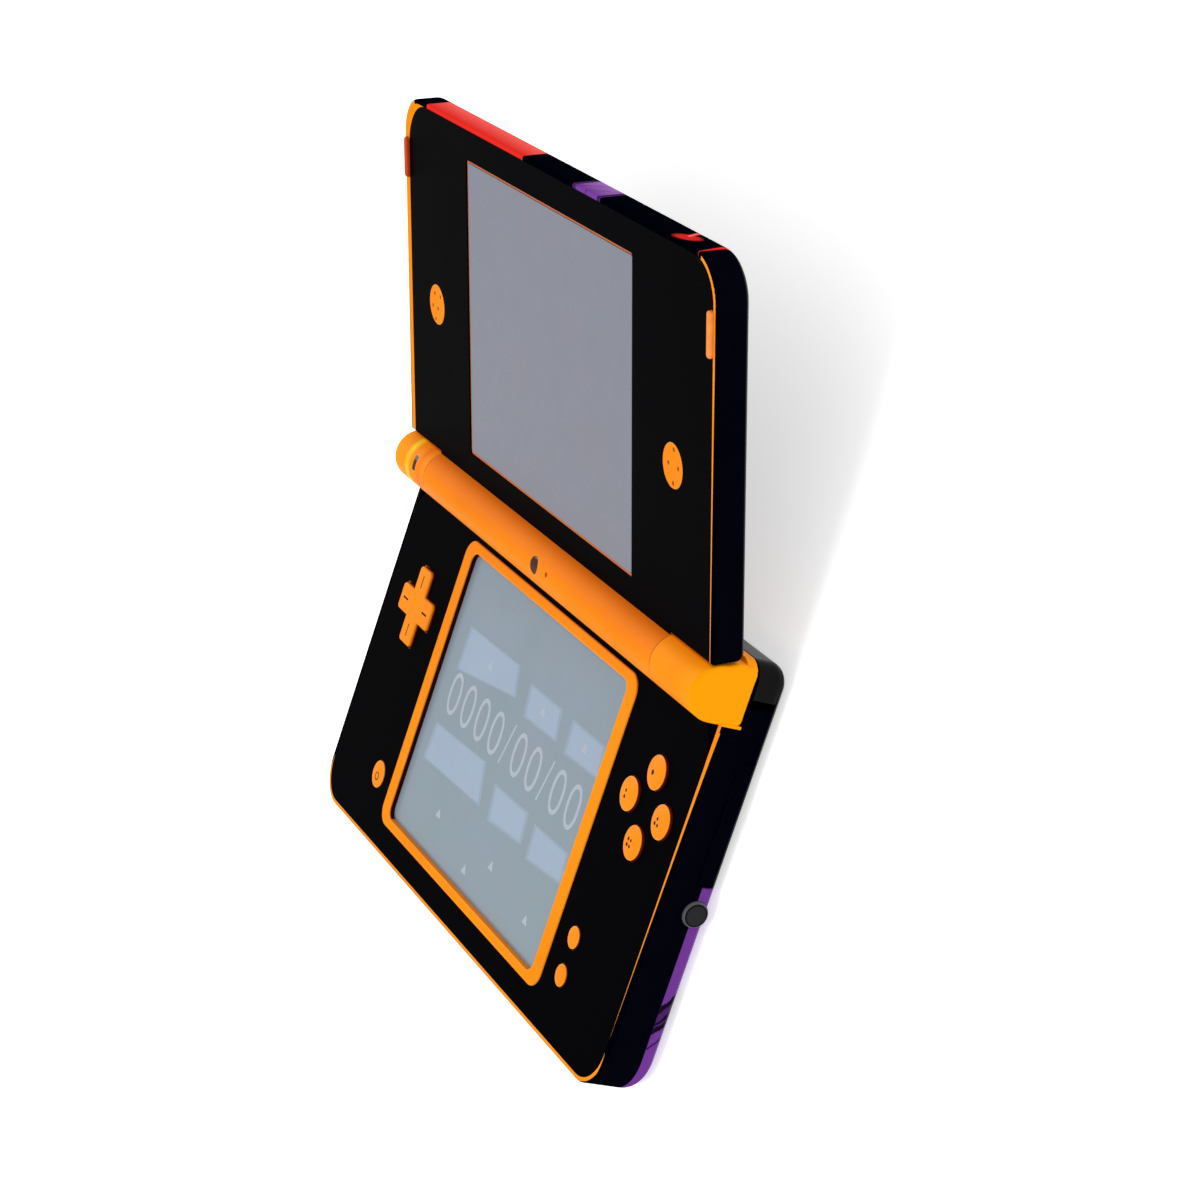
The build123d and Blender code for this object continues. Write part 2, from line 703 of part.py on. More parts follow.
def shoulder_space(side):
    """The room for a shoulder button and its travel."""
    gap = 0.15
    room = box(SHOULDER_IN - gap, 90, SHOULDER_FRONT - SHOULDER_TRAVEL - 0.2, 50,
               SHOULDER_Z0 - gap, SHOULDER_Z1 + gap)
    if side < 0:
        room = mirror_x(room)
    return room


def shoulder_cap(side):
    """The wrapped cap: the base's own corner, a few millimetres thick."""
    outside = base_outer()
    inner = plan(SHOULDER_T, 0, 20)
    room = box(SHOULDER_IN, 90, SHOULDER_FRONT, 50, SHOULDER_Z0, SHOULDER_Z1)
    cap = (outside - inner) & room
    eye = cyl(SHOULDER_PIN_X, SHOULDER_PIN_Y, SHOULDER_Z0, SHOULDER_Z1, 1.5)
    arm = box(SHOULDER_PIN_X - 0.4, SHOULDER_PIN_X + 3.2, SHOULDER_PIN_Y, SHOULDER_PIN_Y + 1.3,
              SHOULDER_Z0, SHOULDER_Z1)
    button = cap + eye + arm
    button = button - cyl(SHOULDER_PIN_X, SHOULDER_PIN_Y, 0, 20, SHOULDER_PIN_R + RUNNING_GAP)
    if side < 0:
        button = mirror_x(button)
    return button


def shoulder_bosses(side):
    """The seats in the floor for a shoulder button's pin and its spring."""
    bosses = cyl(SHOULDER_PIN_X, SHOULDER_PIN_Y - 0.2, 0.9, SHOULDER_Z0 - 0.12, 1.9) & base_outer()
    bosses = bosses + cyl(SPRING_FOOT_X, SPRING_FOOT_Y, 1.2, 3.15, 1.1)
    if side < 0:
        bosses = mirror_x(bosses)
    return bosses


def shoulder_pin_hole(side):
    """The blind hole that holds a shoulder button's pin."""
    return cyl(side * SHOULDER_PIN_X, SHOULDER_PIN_Y, 1.3, 5, SHOULDER_PIN_R + 0.01)


def shoulder_pins():
    pin = cyl(SHOULDER_PIN_X, SHOULDER_PIN_Y, 1.4, SHOULDER_Z1 + 0.3, SHOULDER_PIN_R)
    return group([pin, mirror_x(pin)])


def shoulder_springs():
    """Bent leaf springs that push the shoulder buttons out, one in front of each."""
    x, y = SPRING_FOOT_X, SPRING_FOOT_Y
    strip = box(x - 0.4, x + 6.6, y - 0.2, y + 0.2, 3.2, 6.8)
    blade = Box(7.0, 0.35, 3.2, align=(Align.MIN, Align.CENTER, Align.CENTER))
    leg = Pos(x + 6.5, y, 5.0) * Rot(0, 0, 52) * blade
    foot = cyl(x, y, 3.2, 6.8, 0.5)
    spring = strip + leg + foot
    return group([spring, mirror_x(spring)])


def shoulder_switches():
    switch = box(66.5, 70.6, 33.6, 35.9, 1.85, 6.6) + box(67.8, 69.6, 35.7, 36.15, 3.8, 5.6)
    return group([switch, mirror_x(switch)])


# ---------------------------------------------------------------- slots, stylus and connectors

def card_slot_housing():
    half = SLOT_W / 2
    outer = box(-half - HOUSING_WALL, half + HOUSING_WALL, SLOT_FRONT, 43.9,
                SLOT_Z0 - 0.28, SLOT_Z1 + HOUSING_WALL)
    room = box(-half, half, SLOT_FRONT + 3.0, 60, SLOT_Z0, SLOT_Z1)
    housing = outer - room
    for index in range(17):
        x = -half + 1.9 + index * 1.856
        housing = housing + box(x - 0.3, x + 0.3, SLOT_FRONT + 2.5, SLOT_FRONT + 9, SLOT_Z0 - 0.1, SLOT_Z0 + 0.25)
    return housing


def cover_pocket():
    """The opening in the right wall that the memory card cover closes."""
    opening = box(76, 90, CARD_Y0, CARD_Y1, CARD_Z0 - 0.15, CARD_Z1 + 0.3)
    recess = box(WIDTH / 2 - COVER_T - 0.2, 90, COVER_Y0 - 0.15, COVER_Y1 + 0.15,
                 COVER_Z0 - 0.1, COVER_Z1 + 0.15)
    return opening + recess


def memory_card_cover():
    plate = base_outer() & box(WIDTH / 2 - COVER_T, 90, COVER_Y0, COVER_Y1, COVER_Z0, COVER_Z1)
    lip = box(WIDTH / 2 - 0.3, WIDTH / 2 + 0.35, 11.0, 18.1, COVER_Z1 - 0.9, COVER_Z1 - 0.1)
    lip = fillet(lip.edges().filter_by(Axis.Z).group_by(Axis.X)[-1], 0.3)
    return plate + lip


def memory_card_socket():
    body = box(CARD_X0 - 0.6, 77.4, CARD_Y0 - 0.5, CARD_Y1 + 0.5, FLOOR_TOP + 0.05, CARD_Z1 + 0.5)
    return body - box(CARD_X0, 80, CARD_Y0, CARD_Y1, CARD_Z0, CARD_Z1)


def stylus():
    rod = cyl_x(WIDTH / 2 - STYLUS_LEN, WIDTH / 2, STYLUS_Y, STYLUS_Z, STYLUS_R)
    tip_x = WIDTH / 2 - STYLUS_LEN
    cone = Cone(0.5, STYLUS_R, 6, align=(Align.CENTER, Align.CENTER, Align.MIN))
    tip = Pos(tip_x, STYLUS_Y, STYLUS_Z) * Rot(0, 90, 0) * cone
    rod = rod - cyl_x(tip_x - 1, tip_x + 6, STYLUS_Y, STYLUS_Z, STYLUS_R + 1) + tip
    head = cyl_x(WIDTH / 2 - 3.9, WIDTH / 2 + 0.7, STYLUS_Y, STYLUS_Z, STYLUS_END_R)
    head = fillet(head.faces().sort_by(Axis.X)[-1].edges(), 0.7)
    return rod + head


def audio_jack():
    body = box(JACK_X - 3.4, JACK_X + 3.4, -43.0, -31.5, FLOOR_TOP + 0.2, JACK_Z + 2.6)
    body = body + cyl_y(-45.6, -42.9, JACK_X, JACK_Z, 2.3)
    return body - cyl_y(-46, -33, JACK_X, JACK_Z, JACK_R)


def power_connector():
    body = box(30.0, 40.0, 34.5, 44.0, 2.2, 6.6)
    body = body - box(30.8, 39.2, 36.5, 60, 2.9, 5.9)
    return body + box(32.5, 37.5, 36.0, 42.0, 4.2, 4.7)


def wireless_board():
    low = FLOOR_TOP + 0.05
    board = slab(-72, -50, 1, 27, low, low + 0.8, 0.8)
    return board + box(-68, -56, 6, 18, low + 0.7, low + 2.4)


def status_light_guide():
    return light_slit(0.08, BARREL_R - 0.05)


# ---------------------------------------------------------------- hinge hardware

def hinge_pin():
    """The plain left pivot: one end in the knuckle, a larger journal in the barrel."""
    shank = cyl_x(-75.5, -KNUCKLE_IN + 0.1, HINGE_Y, HINGE_Z, KNUCKLE_BORE_R - 0.02)
    journal = cyl_x(-KNUCKLE_IN + 0.05, -52, HINGE_Y, HINGE_Z, BARREL_BORE_R - RUNNING_GAP)
    return shank + journal


def hinge_cartridge():
    """The friction unit in the barrel's right end, with its shaft in the knuckle."""
    can = cyl_x(44, KNUCKLE_IN - 0.05, 0, 0, BARREL_BORE_R - 0.02)
    shaft = cyl_x(KNUCKLE_IN - 0.1, 75.5, 0, 0, KNUCKLE_BORE_R - RUNNING_GAP)
    return can + shaft


# ---------------------------------------------------------------- lid, in its own frame

def lid_block(inset, y0, z0, z1):
    """The lid's outline, inset all round, with round far corners and square near ones."""
    half = WIDTH / 2 - inset
    far = slab(-half, half, y0 - 30, LID_LENGTH - inset, z0, z1, CORNER_R - inset)
    return far & box(-90, 90, y0, 100, z0, z1)


def lid_outer_shell():
    body = lid_block(0, LID_START, LID_BACK, LID_SEAM)
    back = body.faces().sort_by(Axis.Z)[0]
    body = fillet(back.edges(), 2.6)
    hollow = lid_block(WALL, LID_START + WALL, LID_BACK + LID_BACK_T, 5)
    near = box(-BARREL_HALF, BARREL_HALF, 0, LID_START + WALL + 0.1, LID_FRAME_UNDER, 5)
    shell = body - hollow - near
    shell = shell - cyl(CAMERA_X, CAMERA_Y, -10, 0, 2.6)
    shell = shell - cyl(CAMERA_X, CAMERA_Y, -10, LID_BACK + 0.5, 3.7)
    shell = shell - ribbon_gap()
    for x, y in lid_screw_spots():
        shell = shell + cyl(x, y, LID_BACK + 1, LID_FRAME_UNDER - 0.02, 2.2)
        shell = shell - cyl(x, y, LID_BACK + 2, 5, 0.8)
    return shell


def lid_screw_spots():
    """Centres of the lid's screws, under the face skin."""
    return ((-74.5, 12.0), (74.5, 12.0), (-73.5, 77.0), (73.5, 77.0))


def ribbon_gap():
    """The passage from the barrel to the lid for the ribbon cable."""
    return box(-33, -19, 1.4, 9, -4.7, -3.6)


def upper_block(grow, z0, z1, radius):
    """A block centred on the upper screen."""
    half_w = UPPER_W / 2 + grow
    half_h = UPPER_H / 2 + grow
    return slab(UPPER_X - half_w, UPPER_X + half_w, UPPER_Y - half_h, UPPER_Y + half_h, z0, z1, radius)


def lid_inner_frame():
    rim = lid_block(0, LID_START, LID_SEAM, LID_FACE)
    rim = fillet(rim.faces().sort_by(Axis.Z)[-1].edges(), 0.45)
    rim = rim - lid_skin_block(0.05, LID_PLATE, 5)
    plate = lid_block(WALL + SLIP, LID_START + WALL + SLIP, LID_FRAME_UNDER, LID_PLATE)
    barrel = cyl_x(-BARREL_HALF, BARREL_HALF, 0, 0, BARREL_R)
    web = box(-BARREL_HALF, BARREL_HALF, 2.0, LID_START - 0.05, LID_BACK + 0.6, LID_PLATE)
    bridge = box(-BARREL_HALF, BARREL_HALF, 2.0, LID_START + WALL + 0.5, LID_FRAME_UNDER + 0.05, LID_PLATE)
    frame = rim + plate + (barrel + web + bridge)
    frame = frame - cyl_x(-90, 90, 0, 0, BARREL_BORE_R)
    frame = frame - upper_block(-0.9, -20, 20, 0.8)
    frame = frame - upper_block(0.1, 0.25, 20, 0.6)
    frame = frame - ribbon_gap()
    for side, spots in ((-1, LEFT_GRILLE), (1, RIGHT_GRILLE)):
        pad = cyl(side * SPEAKER_X, SPEAKER_Y, 0.5, LID_FACE, GRILLE_R)
        frame = frame + fillet(pad.faces().sort_by(Axis.Z)[-1].edges(), 0.15)
        for x, y in spots:
            frame = frame - cyl(side * SPEAKER_X + x, SPEAKER_Y + y, -5, 5, GRILLE_HOLE_R)
        frame = frame - bumper_slot(side, 0.06)
    for x, y in lid_screw_spots():
        frame = frame - cyl(x, y, -5, 5, 1.0)
        frame = frame - cyl(x, y, 0.3, 5, 1.75)
    frame = frame - in_barrel(LENS_X, 0, 20, LENS_R + 0.05)
    frame = frame - in_barrel(MIC_X, 0, 20, 0.6)
    return frame


def in_barrel(x, r0, r1, radius):
    """A cylinder that stands on the hinge axis and leans as the camera looks."""
    rod = Cylinder(radius, r1 - r0, align=(Align.CENTER, Align.CENTER, Align.MIN))
    return Pos(x, 0, 0) * Rot(LENS_ANGLE - 90, 0, 0) * Pos(0, 0, r0) * rod


def lid_skin_block(grow, z0, z1):
    """The lid skin's outline: wide at the sides, and lower between the knuckles."""
    half = LID_SKIN_W / 2 + grow
    main = slab(-half, half, -20, LID_SKIN_TOP + grow, z0, z1, SKIN_R + grow)
    ends = main & box(-90, 90, LID_SKIN_END - grow, 100, z0, z1)
    middle = main & box(-BARREL_HALF, BARREL_HALF, LID_SKIN_MIDDLE - grow, 100, z0, z1)
    return ends + middle


def lid_face_skin():
    skin = lid_skin_block(0, LID_PLATE, LID_FACE)
    skin = skin - upper_block(0.65, -5, 5, 0.8)
    for side in (-1, 1):
        skin = skin - cyl(side * SPEAKER_X, SPEAKER_Y, -5, 5, GRILLE_R + 0.06)
        skin = skin - bumper_slot(side, 0.12)
    return skin


def bumper_slot(side, grow):
    """The outline of one long rubber bumper, as a block."""
    x0, x1 = BUMPER_X - BUMPER_W / 2 - grow, BUMPER_X + BUMPER_W / 2 + grow
    y0, y1 = BUMPER_Y - BUMPER_L / 2 - grow, BUMPER_Y + BUMPER_L / 2 + grow
    block = slab(x0, x1, y0, y1, LID_SEAM + 0.03 - grow, BUMPER_TOP, 0.8)
    if side < 0:
        block = mirror_x(block)
    return block


def lid_bumpers():
    bumpers = []
    for side in (-1, 1):
        bumper = bumper_slot(side, 0)
        bumpers.append(fillet(bumper.faces().sort_by(Axis.Z)[-1].edges(), 0.4))
    return group(bumpers)


def upper_screen_window():
    return upper_block(0, 0.3, 1.2, 0.5)


def upper_lcd_panel():
    return upper_block(0.4, -1.9, -0.5, 0.5)


def upper_backlight():
    return upper_block(0.8, -3.3, -1.95, 0.6)


def speakers():
    pair = []
    for side in (-1, 1):
        can = cyl(side * SPEAKER_X, SPEAKER_Y, -3.6, -0.7, 7.5)
        can = can + cyl(side * SPEAKER_X, SPEAKER_Y, -4.3, -3.5, 4.5)
        pair.append(can - cyl(side * SPEAKER_X, SPEAKER_Y, -1.1, 5, 6.5))
    return group(pair)


def lid_screws():
    screws = []
    for x, y in lid_screw_spots():
        head = cyl(x, y, 0.35, 1.0, 1.65)
        shank = cyl(x, y, -3.6, 0.4, 0.74)
        screws.append(head + shank)
    return group(screws)


def inner_camera_module():
    return in_barrel(LENS_X, 0, 3.9, 1.85) - in_barrel(LENS_X, 3.3, 5, 1.2)


def inner_camera_lens():
    dome = in_barrel(LENS_X, 4.0, 5.9, LENS_R - 0.05)
    return dome & cyl_x(-80, 80, 0, 0, BARREL_R - 0.15)


def microphone():
    return in_barrel(MIC_X, 1.5, 3.9, 1.3)


def outer_camera_module():
    body = cyl(CAMERA_X, CAMERA_Y, -4.5, -1.4, 4.0)
    tail = box(CAMERA_X - 4.2, CAMERA_X + 4.2, CAMERA_Y - 12, CAMERA_Y, -2.2, -1.4)
    return body + tail


def outer_camera_lens():
    ring = cyl(CAMERA_X, CAMERA_Y, LID_BACK + 0.05, LID_BACK + 0.45, 3.6)
    stem = cyl(CAMERA_X, CAMERA_Y, LID_BACK + 0.4, -4.55, 2.5)
    return ring + stem


def display_ribbon_cable():
    strip = box(-32, -20, 1.6, 24, -4.35, -4.15)
    riser = box(-32, -20, 1.6, 1.8, -4.35, -3.3)
    roll = cyl_x(-32, -20, 0, 0, 3.85) - cyl_x(-33, -19, 0, 0, 3.65)
    return strip + riser + roll


def place_lid(shape):
    """From the lid's own frame to the open position on the hinge."""
    return Pos(0, HINGE_Y, HINGE_Z) * Rot(LID_ANGLE, 0, 0) * shape


BASE_NODES = {
    "base_bottom_shell": base_bottom_shell,
    "base_top_shell": base_top_shell,
    "base_face_skin": base_face_skin,
    "touch_panel": touch_panel,
    "lower_lcd_panel": lower_lcd_panel,
    "lower_backlight": lower_backlight,
    "main_board": main_board,
    "board_chips": board_chips,
    "shield_can": shield_can,
    "left_button_board": left_button_board,
    "right_button_board": right_button_board,
    "dpad_membrane": dpad_membrane,
    "face_button_membrane": face_button_membrane,
    "small_membranes": small_membranes,
    "dpad_pivot": dpad_pivot,
    "dpad": dpad,
    "face_button_top": lambda: face_button(0),
    "face_button_left": lambda: face_button(1),
    "face_button_right": lambda: face_button(2),
    "face_button_bottom": lambda: face_button(3),
    "small_button_upper": lambda: small_button(0),
    "small_button_lower": lambda: small_button(1),
    "power_button": power_button,
    "volume_rocker": volume_rocker,
    "volume_switch": volume_switch,
    "left_shoulder_button": lambda: shoulder_cap(-1),
    "right_shoulder_button": lambda: shoulder_cap(1),
    "shoulder_pins": shoulder_pins,
    "shoulder_springs": shoulder_springs,
    "shoulder_switches": shoulder_switches,
    "card_slot_housing": card_slot_housing,
    "memory_card_cover": memory_card_cover,
    "memory_card_socket": memory_card_socket,
    "stylus": stylus,
    "battery": battery,
    "battery_cover": battery_cover,
    "battery_cover_screws": battery_cover_screws,
    "case_screws": case_screws,
    "rubber_feet": rubber_feet,
    "audio_jack": audio_jack,
    "power_connector": power_connector,
    "wireless_board": wireless_board,
    "status_light_guide": status_light_guide,
    "hinge_pin": hinge_pin,
}

LID_NODES = {
    "lid_outer_shell": lid_outer_shell,
    "lid_inner_frame": lid_inner_frame,
    "lid_face_skin": lid_face_skin,
    "upper_screen_window": upper_screen_window,
    "upper_lcd_panel": upper_lcd_panel,
    "upper_backlight": upper_backlight,
    "speakers": speakers,
    "lid_bumpers": lid_bumpers,
    "lid_screws": lid_screws,
    "inner_camera_module": inner_camera_module,
    "inner_camera_lens": inner_camera_lens,
    "microphone": microphone,
    "outer_camera_module": outer_camera_module,
    "outer_camera_lens": outer_camera_lens,
    "display_ribbon_cable": display_ribbon_cable,
    "hinge_cartridge": hinge_cartridge,
}


def save(name, shape):
    """Write one node, with the origin under the middle of the open console."""
    export_step(Pos(0, -OPEN_CENTRE_Y, 0) * shape, f"parts/{name}.step")


def main():
    os.makedirs("parts", exist_ok=True)
    for name, make in BASE_NODES.items():
        save(name, make())
    for name, make in LID_NODES.items():
        save(name, place_lid(make()))


main()
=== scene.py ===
"""Looks for a folding handheld game console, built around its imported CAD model."""
import json
import math

import bmesh
import bpy
from mathutils import Euler, Matrix, Vector


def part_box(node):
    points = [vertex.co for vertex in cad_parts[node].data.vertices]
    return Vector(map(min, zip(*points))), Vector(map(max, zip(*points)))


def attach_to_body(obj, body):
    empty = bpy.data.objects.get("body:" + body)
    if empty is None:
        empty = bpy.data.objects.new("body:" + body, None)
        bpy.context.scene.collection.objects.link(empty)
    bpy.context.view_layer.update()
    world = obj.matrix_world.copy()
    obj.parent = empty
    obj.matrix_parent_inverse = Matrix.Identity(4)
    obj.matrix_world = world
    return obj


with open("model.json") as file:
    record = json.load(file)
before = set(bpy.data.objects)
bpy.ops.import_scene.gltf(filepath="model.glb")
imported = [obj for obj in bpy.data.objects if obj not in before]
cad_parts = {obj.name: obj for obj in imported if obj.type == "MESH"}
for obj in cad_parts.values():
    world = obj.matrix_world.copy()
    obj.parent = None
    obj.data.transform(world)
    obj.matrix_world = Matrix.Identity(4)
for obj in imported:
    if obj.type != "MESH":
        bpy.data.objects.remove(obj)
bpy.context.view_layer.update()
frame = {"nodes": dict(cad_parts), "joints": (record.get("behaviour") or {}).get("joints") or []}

MM = 0.001
NODES = frame["nodes"]
JOINTS = {joint["name"]: joint for joint in frame["joints"]}

# ---------------------------------------------------------------- places taken from the frame

HINGE = Vector(JOINTS["lid_hinge"]["pos_m"])
LID_TILT = math.radians(20.0)
LID_MATRIX = Matrix.Translation(HINGE) @ Matrix.Rotation(LID_TILT, 4, "X")
TO_LID = LID_MATRIX.inverted()
SKIN_LOW, SKIN_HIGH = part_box("base_face_skin")
PANEL_LOW, PANEL_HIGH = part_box("touch_panel")
SCREEN_CENTRE = (PANEL_LOW + PANEL_HIGH) / 2
HALF_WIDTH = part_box("base_bottom_shell")[1].x
KNUCKLE_FRONT = HINGE.y - 5.8 * MM
BASE_Y = HINGE.y - 38.2 * MM


def centre(node):
    low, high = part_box(node)
    return (low + high) / 2


def lid_reach(node):
    """How far a lid node reaches from the hinge axis, in the lid's own frame."""
    return max((TO_LID @ vertex.co).y for vertex in NODES[node].data.vertices)


LID_LENGTH = lid_reach("lid_outer_shell")


# ---------------------------------------------------------------- node helpers

def srgb(red, green, blue):
    """Linear colour from 0-255 display values."""
    def linear(value):
        value = value / 255
        if value <= 0.04045:
            return value / 12.92
        return ((value + 0.055) / 1.055) ** 2.4
    return (linear(red), linear(green), linear(blue), 1.0)


class Graph:
    """A small wrapper that keeps a material's node code short."""

    def __init__(self, name):
        self.material = bpy.data.materials.new(name)
        self.material.use_nodes = True
        self.tree = self.material.node_tree
        self.shader = self.tree.nodes["Principled BSDF"]
        self.coords = self.add("ShaderNodeTexCoord").outputs["Object"]
        self.film = None

    def add(self, kind, **values):
        node = self.tree.nodes.new(kind)
        for key, value in values.items():
            setattr(node, key, value)
        return node

    def link(self, source, target):
        if isinstance(source, (int, float)):
            target.default_value = source
        elif isinstance(source, tuple):
            target.default_value = source
        else:
            self.tree.links.new(source, target)

    def math(self, operation, first, second=0.0, third=None):
        node = self.add("ShaderNodeMath", operation=operation)
        self.link(first, node.inputs[0])
        self.link(second, node.inputs[1])
        if third is not None:
            self.link(third, node.inputs[2])
        return node.outputs[0]

    def mix(self, factor, first, second, blend="MIX"):
        node = self.add("ShaderNodeMix", data_type="RGBA", blend_type=blend)
        self.link(factor, node.inputs["Factor"])
        self.link(first, node.inputs["A"])
        self.link(second, node.inputs["B"])
        return node.outputs["Result"]

    def cover(self, factor, base, color):
        """Lay matt film over the plastic: its colour, and none of the plastic's shine."""
        self.film = factor if self.film is None else self.math("MAXIMUM", self.film, factor)
        return self.mix(factor, base, color)

    def noise(self, scale, detail=4.0, roughness=0.5, coords=None, kind="ShaderNodeTexNoise"):
        node = self.add(kind)
        node.inputs["Scale"].default_value = scale
        if "Detail" in node.inputs:
            node.inputs["Detail"].default_value = detail
            node.inputs["Roughness"].default_value = roughness
        self.link(coords or self.coords, node.inputs["Vector"])
        return node.outputs[0]

    def remap(self, value, low, high, out_low, out_high):
        node = self.add("ShaderNodeMapRange")
        self.link(value, node.inputs["Value"])
        numbers = {"From Min": low, "From Max": high, "To Min": out_low, "To Max": out_high}
        for key, number in numbers.items():
            node.inputs[key].default_value = number
        return node.outputs["Result"]

    def length(self, first, second):
        """The length of a flat vector."""
        square = self.math("ADD", self.math("MULTIPLY", first, first), self.math("MULTIPLY", second, second))
        return self.math("SQRT", square)

    def past(self, value, edge):
        """How far a value lies past an edge, or 0."""
        return self.math("MAXIMUM", self.math("SUBTRACT", value, edge), 0.0)

    def all_of(self, first, *others):
        """The product of masks."""
        for other in others:
            first = self.math("MULTIPLY", first, other)
        return first

    def to_lid(self, vector):
        """Turn a vector from the row's axes to the lid's."""
        turned = self.add("ShaderNodeVectorRotate", rotation_type="X_AXIS")
        self.link(vector, turned.inputs["Vector"])
        turned.inputs["Angle"].default_value = -LID_TILT
        return turned.outputs[0]

    def split(self, vector):
        node = self.add("ShaderNodeSeparateXYZ")
        self.link(vector, node.inputs[0])
        return node.outputs

    def axes(self, lid=False):
        """Separate X, Y and Z in metres: row axes, or the lid's own frame."""
        if not lid:
            return self.split(self.coords)
        moved = self.add("ShaderNodeVectorMath", operation="SUBTRACT")
        self.link(self.coords, moved.inputs[0])
        moved.inputs[1].default_value = HINGE
        return self.split(self.to_lid(moved.outputs[0]))

    def outward(self, lid=False):
        """Near 1 on faces that look out of the closed console: under the base, or on top of the lid."""
        vector = self.add("ShaderNodeTexCoord").outputs["Normal"]
        if lid:
            vector = self.to_lid(vector)
        return self.remap(self.split(vector)[2], -0.55, -0.92, 0, 1)

    def between(self, value, low, high, soft=0.00003):
        """1 where value lies between low and high, with soft ends."""
        rise = self.remap(value, low - soft, low + soft, 0, 1)
        fall = self.remap(value, high - soft, high + soft, 1, 0)
        return self.math("MULTIPLY", rise, fall)

    def strip(self, base, value, low, high, color, inside=None, soft=0.00003):
        """A coloured strip between two places along one axis, where a mask is 1."""
        mask = self.between(value, low, high, soft)
        if inside is not None:
            mask = self.math("MULTIPLY", mask, inside)
        return self.mix(mask, base, color)

    def bump(self, height, strength, distance, normal=None):
        node = self.add("ShaderNodeBump")
        node.inputs["Strength"].default_value = strength
        node.inputs["Distance"].default_value = distance
        self.link(height, node.inputs["Height"])
        if normal is not None:
            self.link(normal, node.inputs["Normal"])
        return node.outputs[0]

    def soft_edges(self, radius):
        node = self.add("ShaderNodeBevel", samples=4)
        node.inputs["Radius"].default_value = radius
        return node.outputs[0]

    def edge_mask(self, radius):
        """Near 1 along sharp edges, 0 on flat stretches."""
        rounded = self.soft_edges(radius)
        flat = self.add("ShaderNodeNewGeometry").outputs["Normal"]
        dot = self.add("ShaderNodeVectorMath", operation="DOT_PRODUCT")
        self.link(rounded, dot.inputs[0])
        self.link(flat, dot.inputs[1])
        return self.remap(dot.outputs["Value"], 0.995, 0.80, 0, 1)

    def set(self, **values):
        names = {"color": "Base Color", "rough": "Roughness", "metal": "Metallic", "normal": "Normal",
                 "coat": "Coat Weight", "coat_rough": "Coat Roughness", "specular": "Specular IOR Level",
                 "aniso": "Anisotropic", "glow": "Emission Color", "glow_power": "Emission Strength"}
        for key, value in values.items():
            self.link(value, self.shader.inputs[names[key]])
        return self.material


# ---------------------------------------------------------------- materials

ORANGE = srgb(250, 138, 2)
# Painted shade on the hinge barrel.
ORANGE_SHADE = srgb(226, 100, 12)
# Pale edge colour: worn plastic and a painted edge highlight.
ORANGE_PALE = srgb(255, 196, 112)
# Painted light on the knuckle ends that face the light.
ORANGE_LIT = srgb(255, 154, 0)
SHADOW_BROWN = srgb(48, 8, 2)
# Painted shade in the gaps beside keys.
GAP_SHADE_RED = srgb(110, 22, 2)
# Painted shade in the D-pad's grooves.
GROOVE_SHADE_BROWN = srgb(92, 40, 8)
WINDOW_LINE = srgb(196, 110, 66)
# Painted highlight and painted glow beside the light slit.
GOLD_HIGHLIGHT = srgb(255, 214, 36)
GLOW_RED = srgb(250, 96, 30)
FACE_BLACK = srgb(1, 1, 2)
NAVY_BLACK = srgb(1, 2, 8)
RED = srgb(253, 106, 100)
RED_DEEP = srgb(224, 44, 36)
PURPLE = srgb(116, 62, 150)
PURPLE_PALE = srgb(168, 118, 188)
INK = srgb(20, 12, 26)
INK_WASH = srgb(72, 34, 96)
WEAVE_PURPLE = srgb(104, 50, 136)
# Painted shade on the left bumper.
BUMPER_SHADE_RED = srgb(200, 66, 4)
# Painted gap shade and painted highlight around the stylus end.
GAP_SHADE_BLACK = srgb(2, 2, 3)
RIM_HIGHLIGHT_GREY = srgb(84, 84, 88)

# Places of the prints on the lid's far wall: fields in metres across the lid, thin lines in millimetres.
RED_FIELD = (-66.4 * MM, -11.3 * MM)
PURPLE_FIELD = (15.9 * MM, 26.8 * MM)
PURPLE_LINES = (14.9, 15.4, 27.4, 28.0)
INK_LINES = (17.6, 22.4)
PURPLE_HALF, INK_HALF = 0.09, 0.12
BLOB_X, BLOB_Z = 63.0 * MM, -1.0 * MM
BLOB_WIDE, BLOB_HIGH = 3.4 * MM, 1.8 * MM
STEM = (62.5 * MM, 63.6 * MM)
WEDGE = (72.5 * MM, 72.9 * MM)

# Ink strokes on the base's right wall: place along the base and half width, in millimetres.
STROKES = ((-22.0, 0.85), (-25.2, 0.4), (-27.0, 0.85), (-30.4, 0.25))

# Three tones for each part of a display: two across it, and its cold clouds.
SCREEN_TONES = {
    "touch": ((129, 145, 152), (124, 140, 151), (134, 148, 164)),
    "window": ((122, 124, 135), (118, 120, 132), (118, 127, 142)),
    "tile_edge": ((138, 156, 170), (134, 152, 168), (141, 157, 175)),
    "tile": ((148, 166, 184), (143, 161, 181), (150, 166, 187)),
    "digit": ((164, 175, 185), (159, 170, 181), (163, 172, 185)),
}


def darkened(color, factor):
    return tuple(channel * factor for channel in color[:3]) + (1.0,)


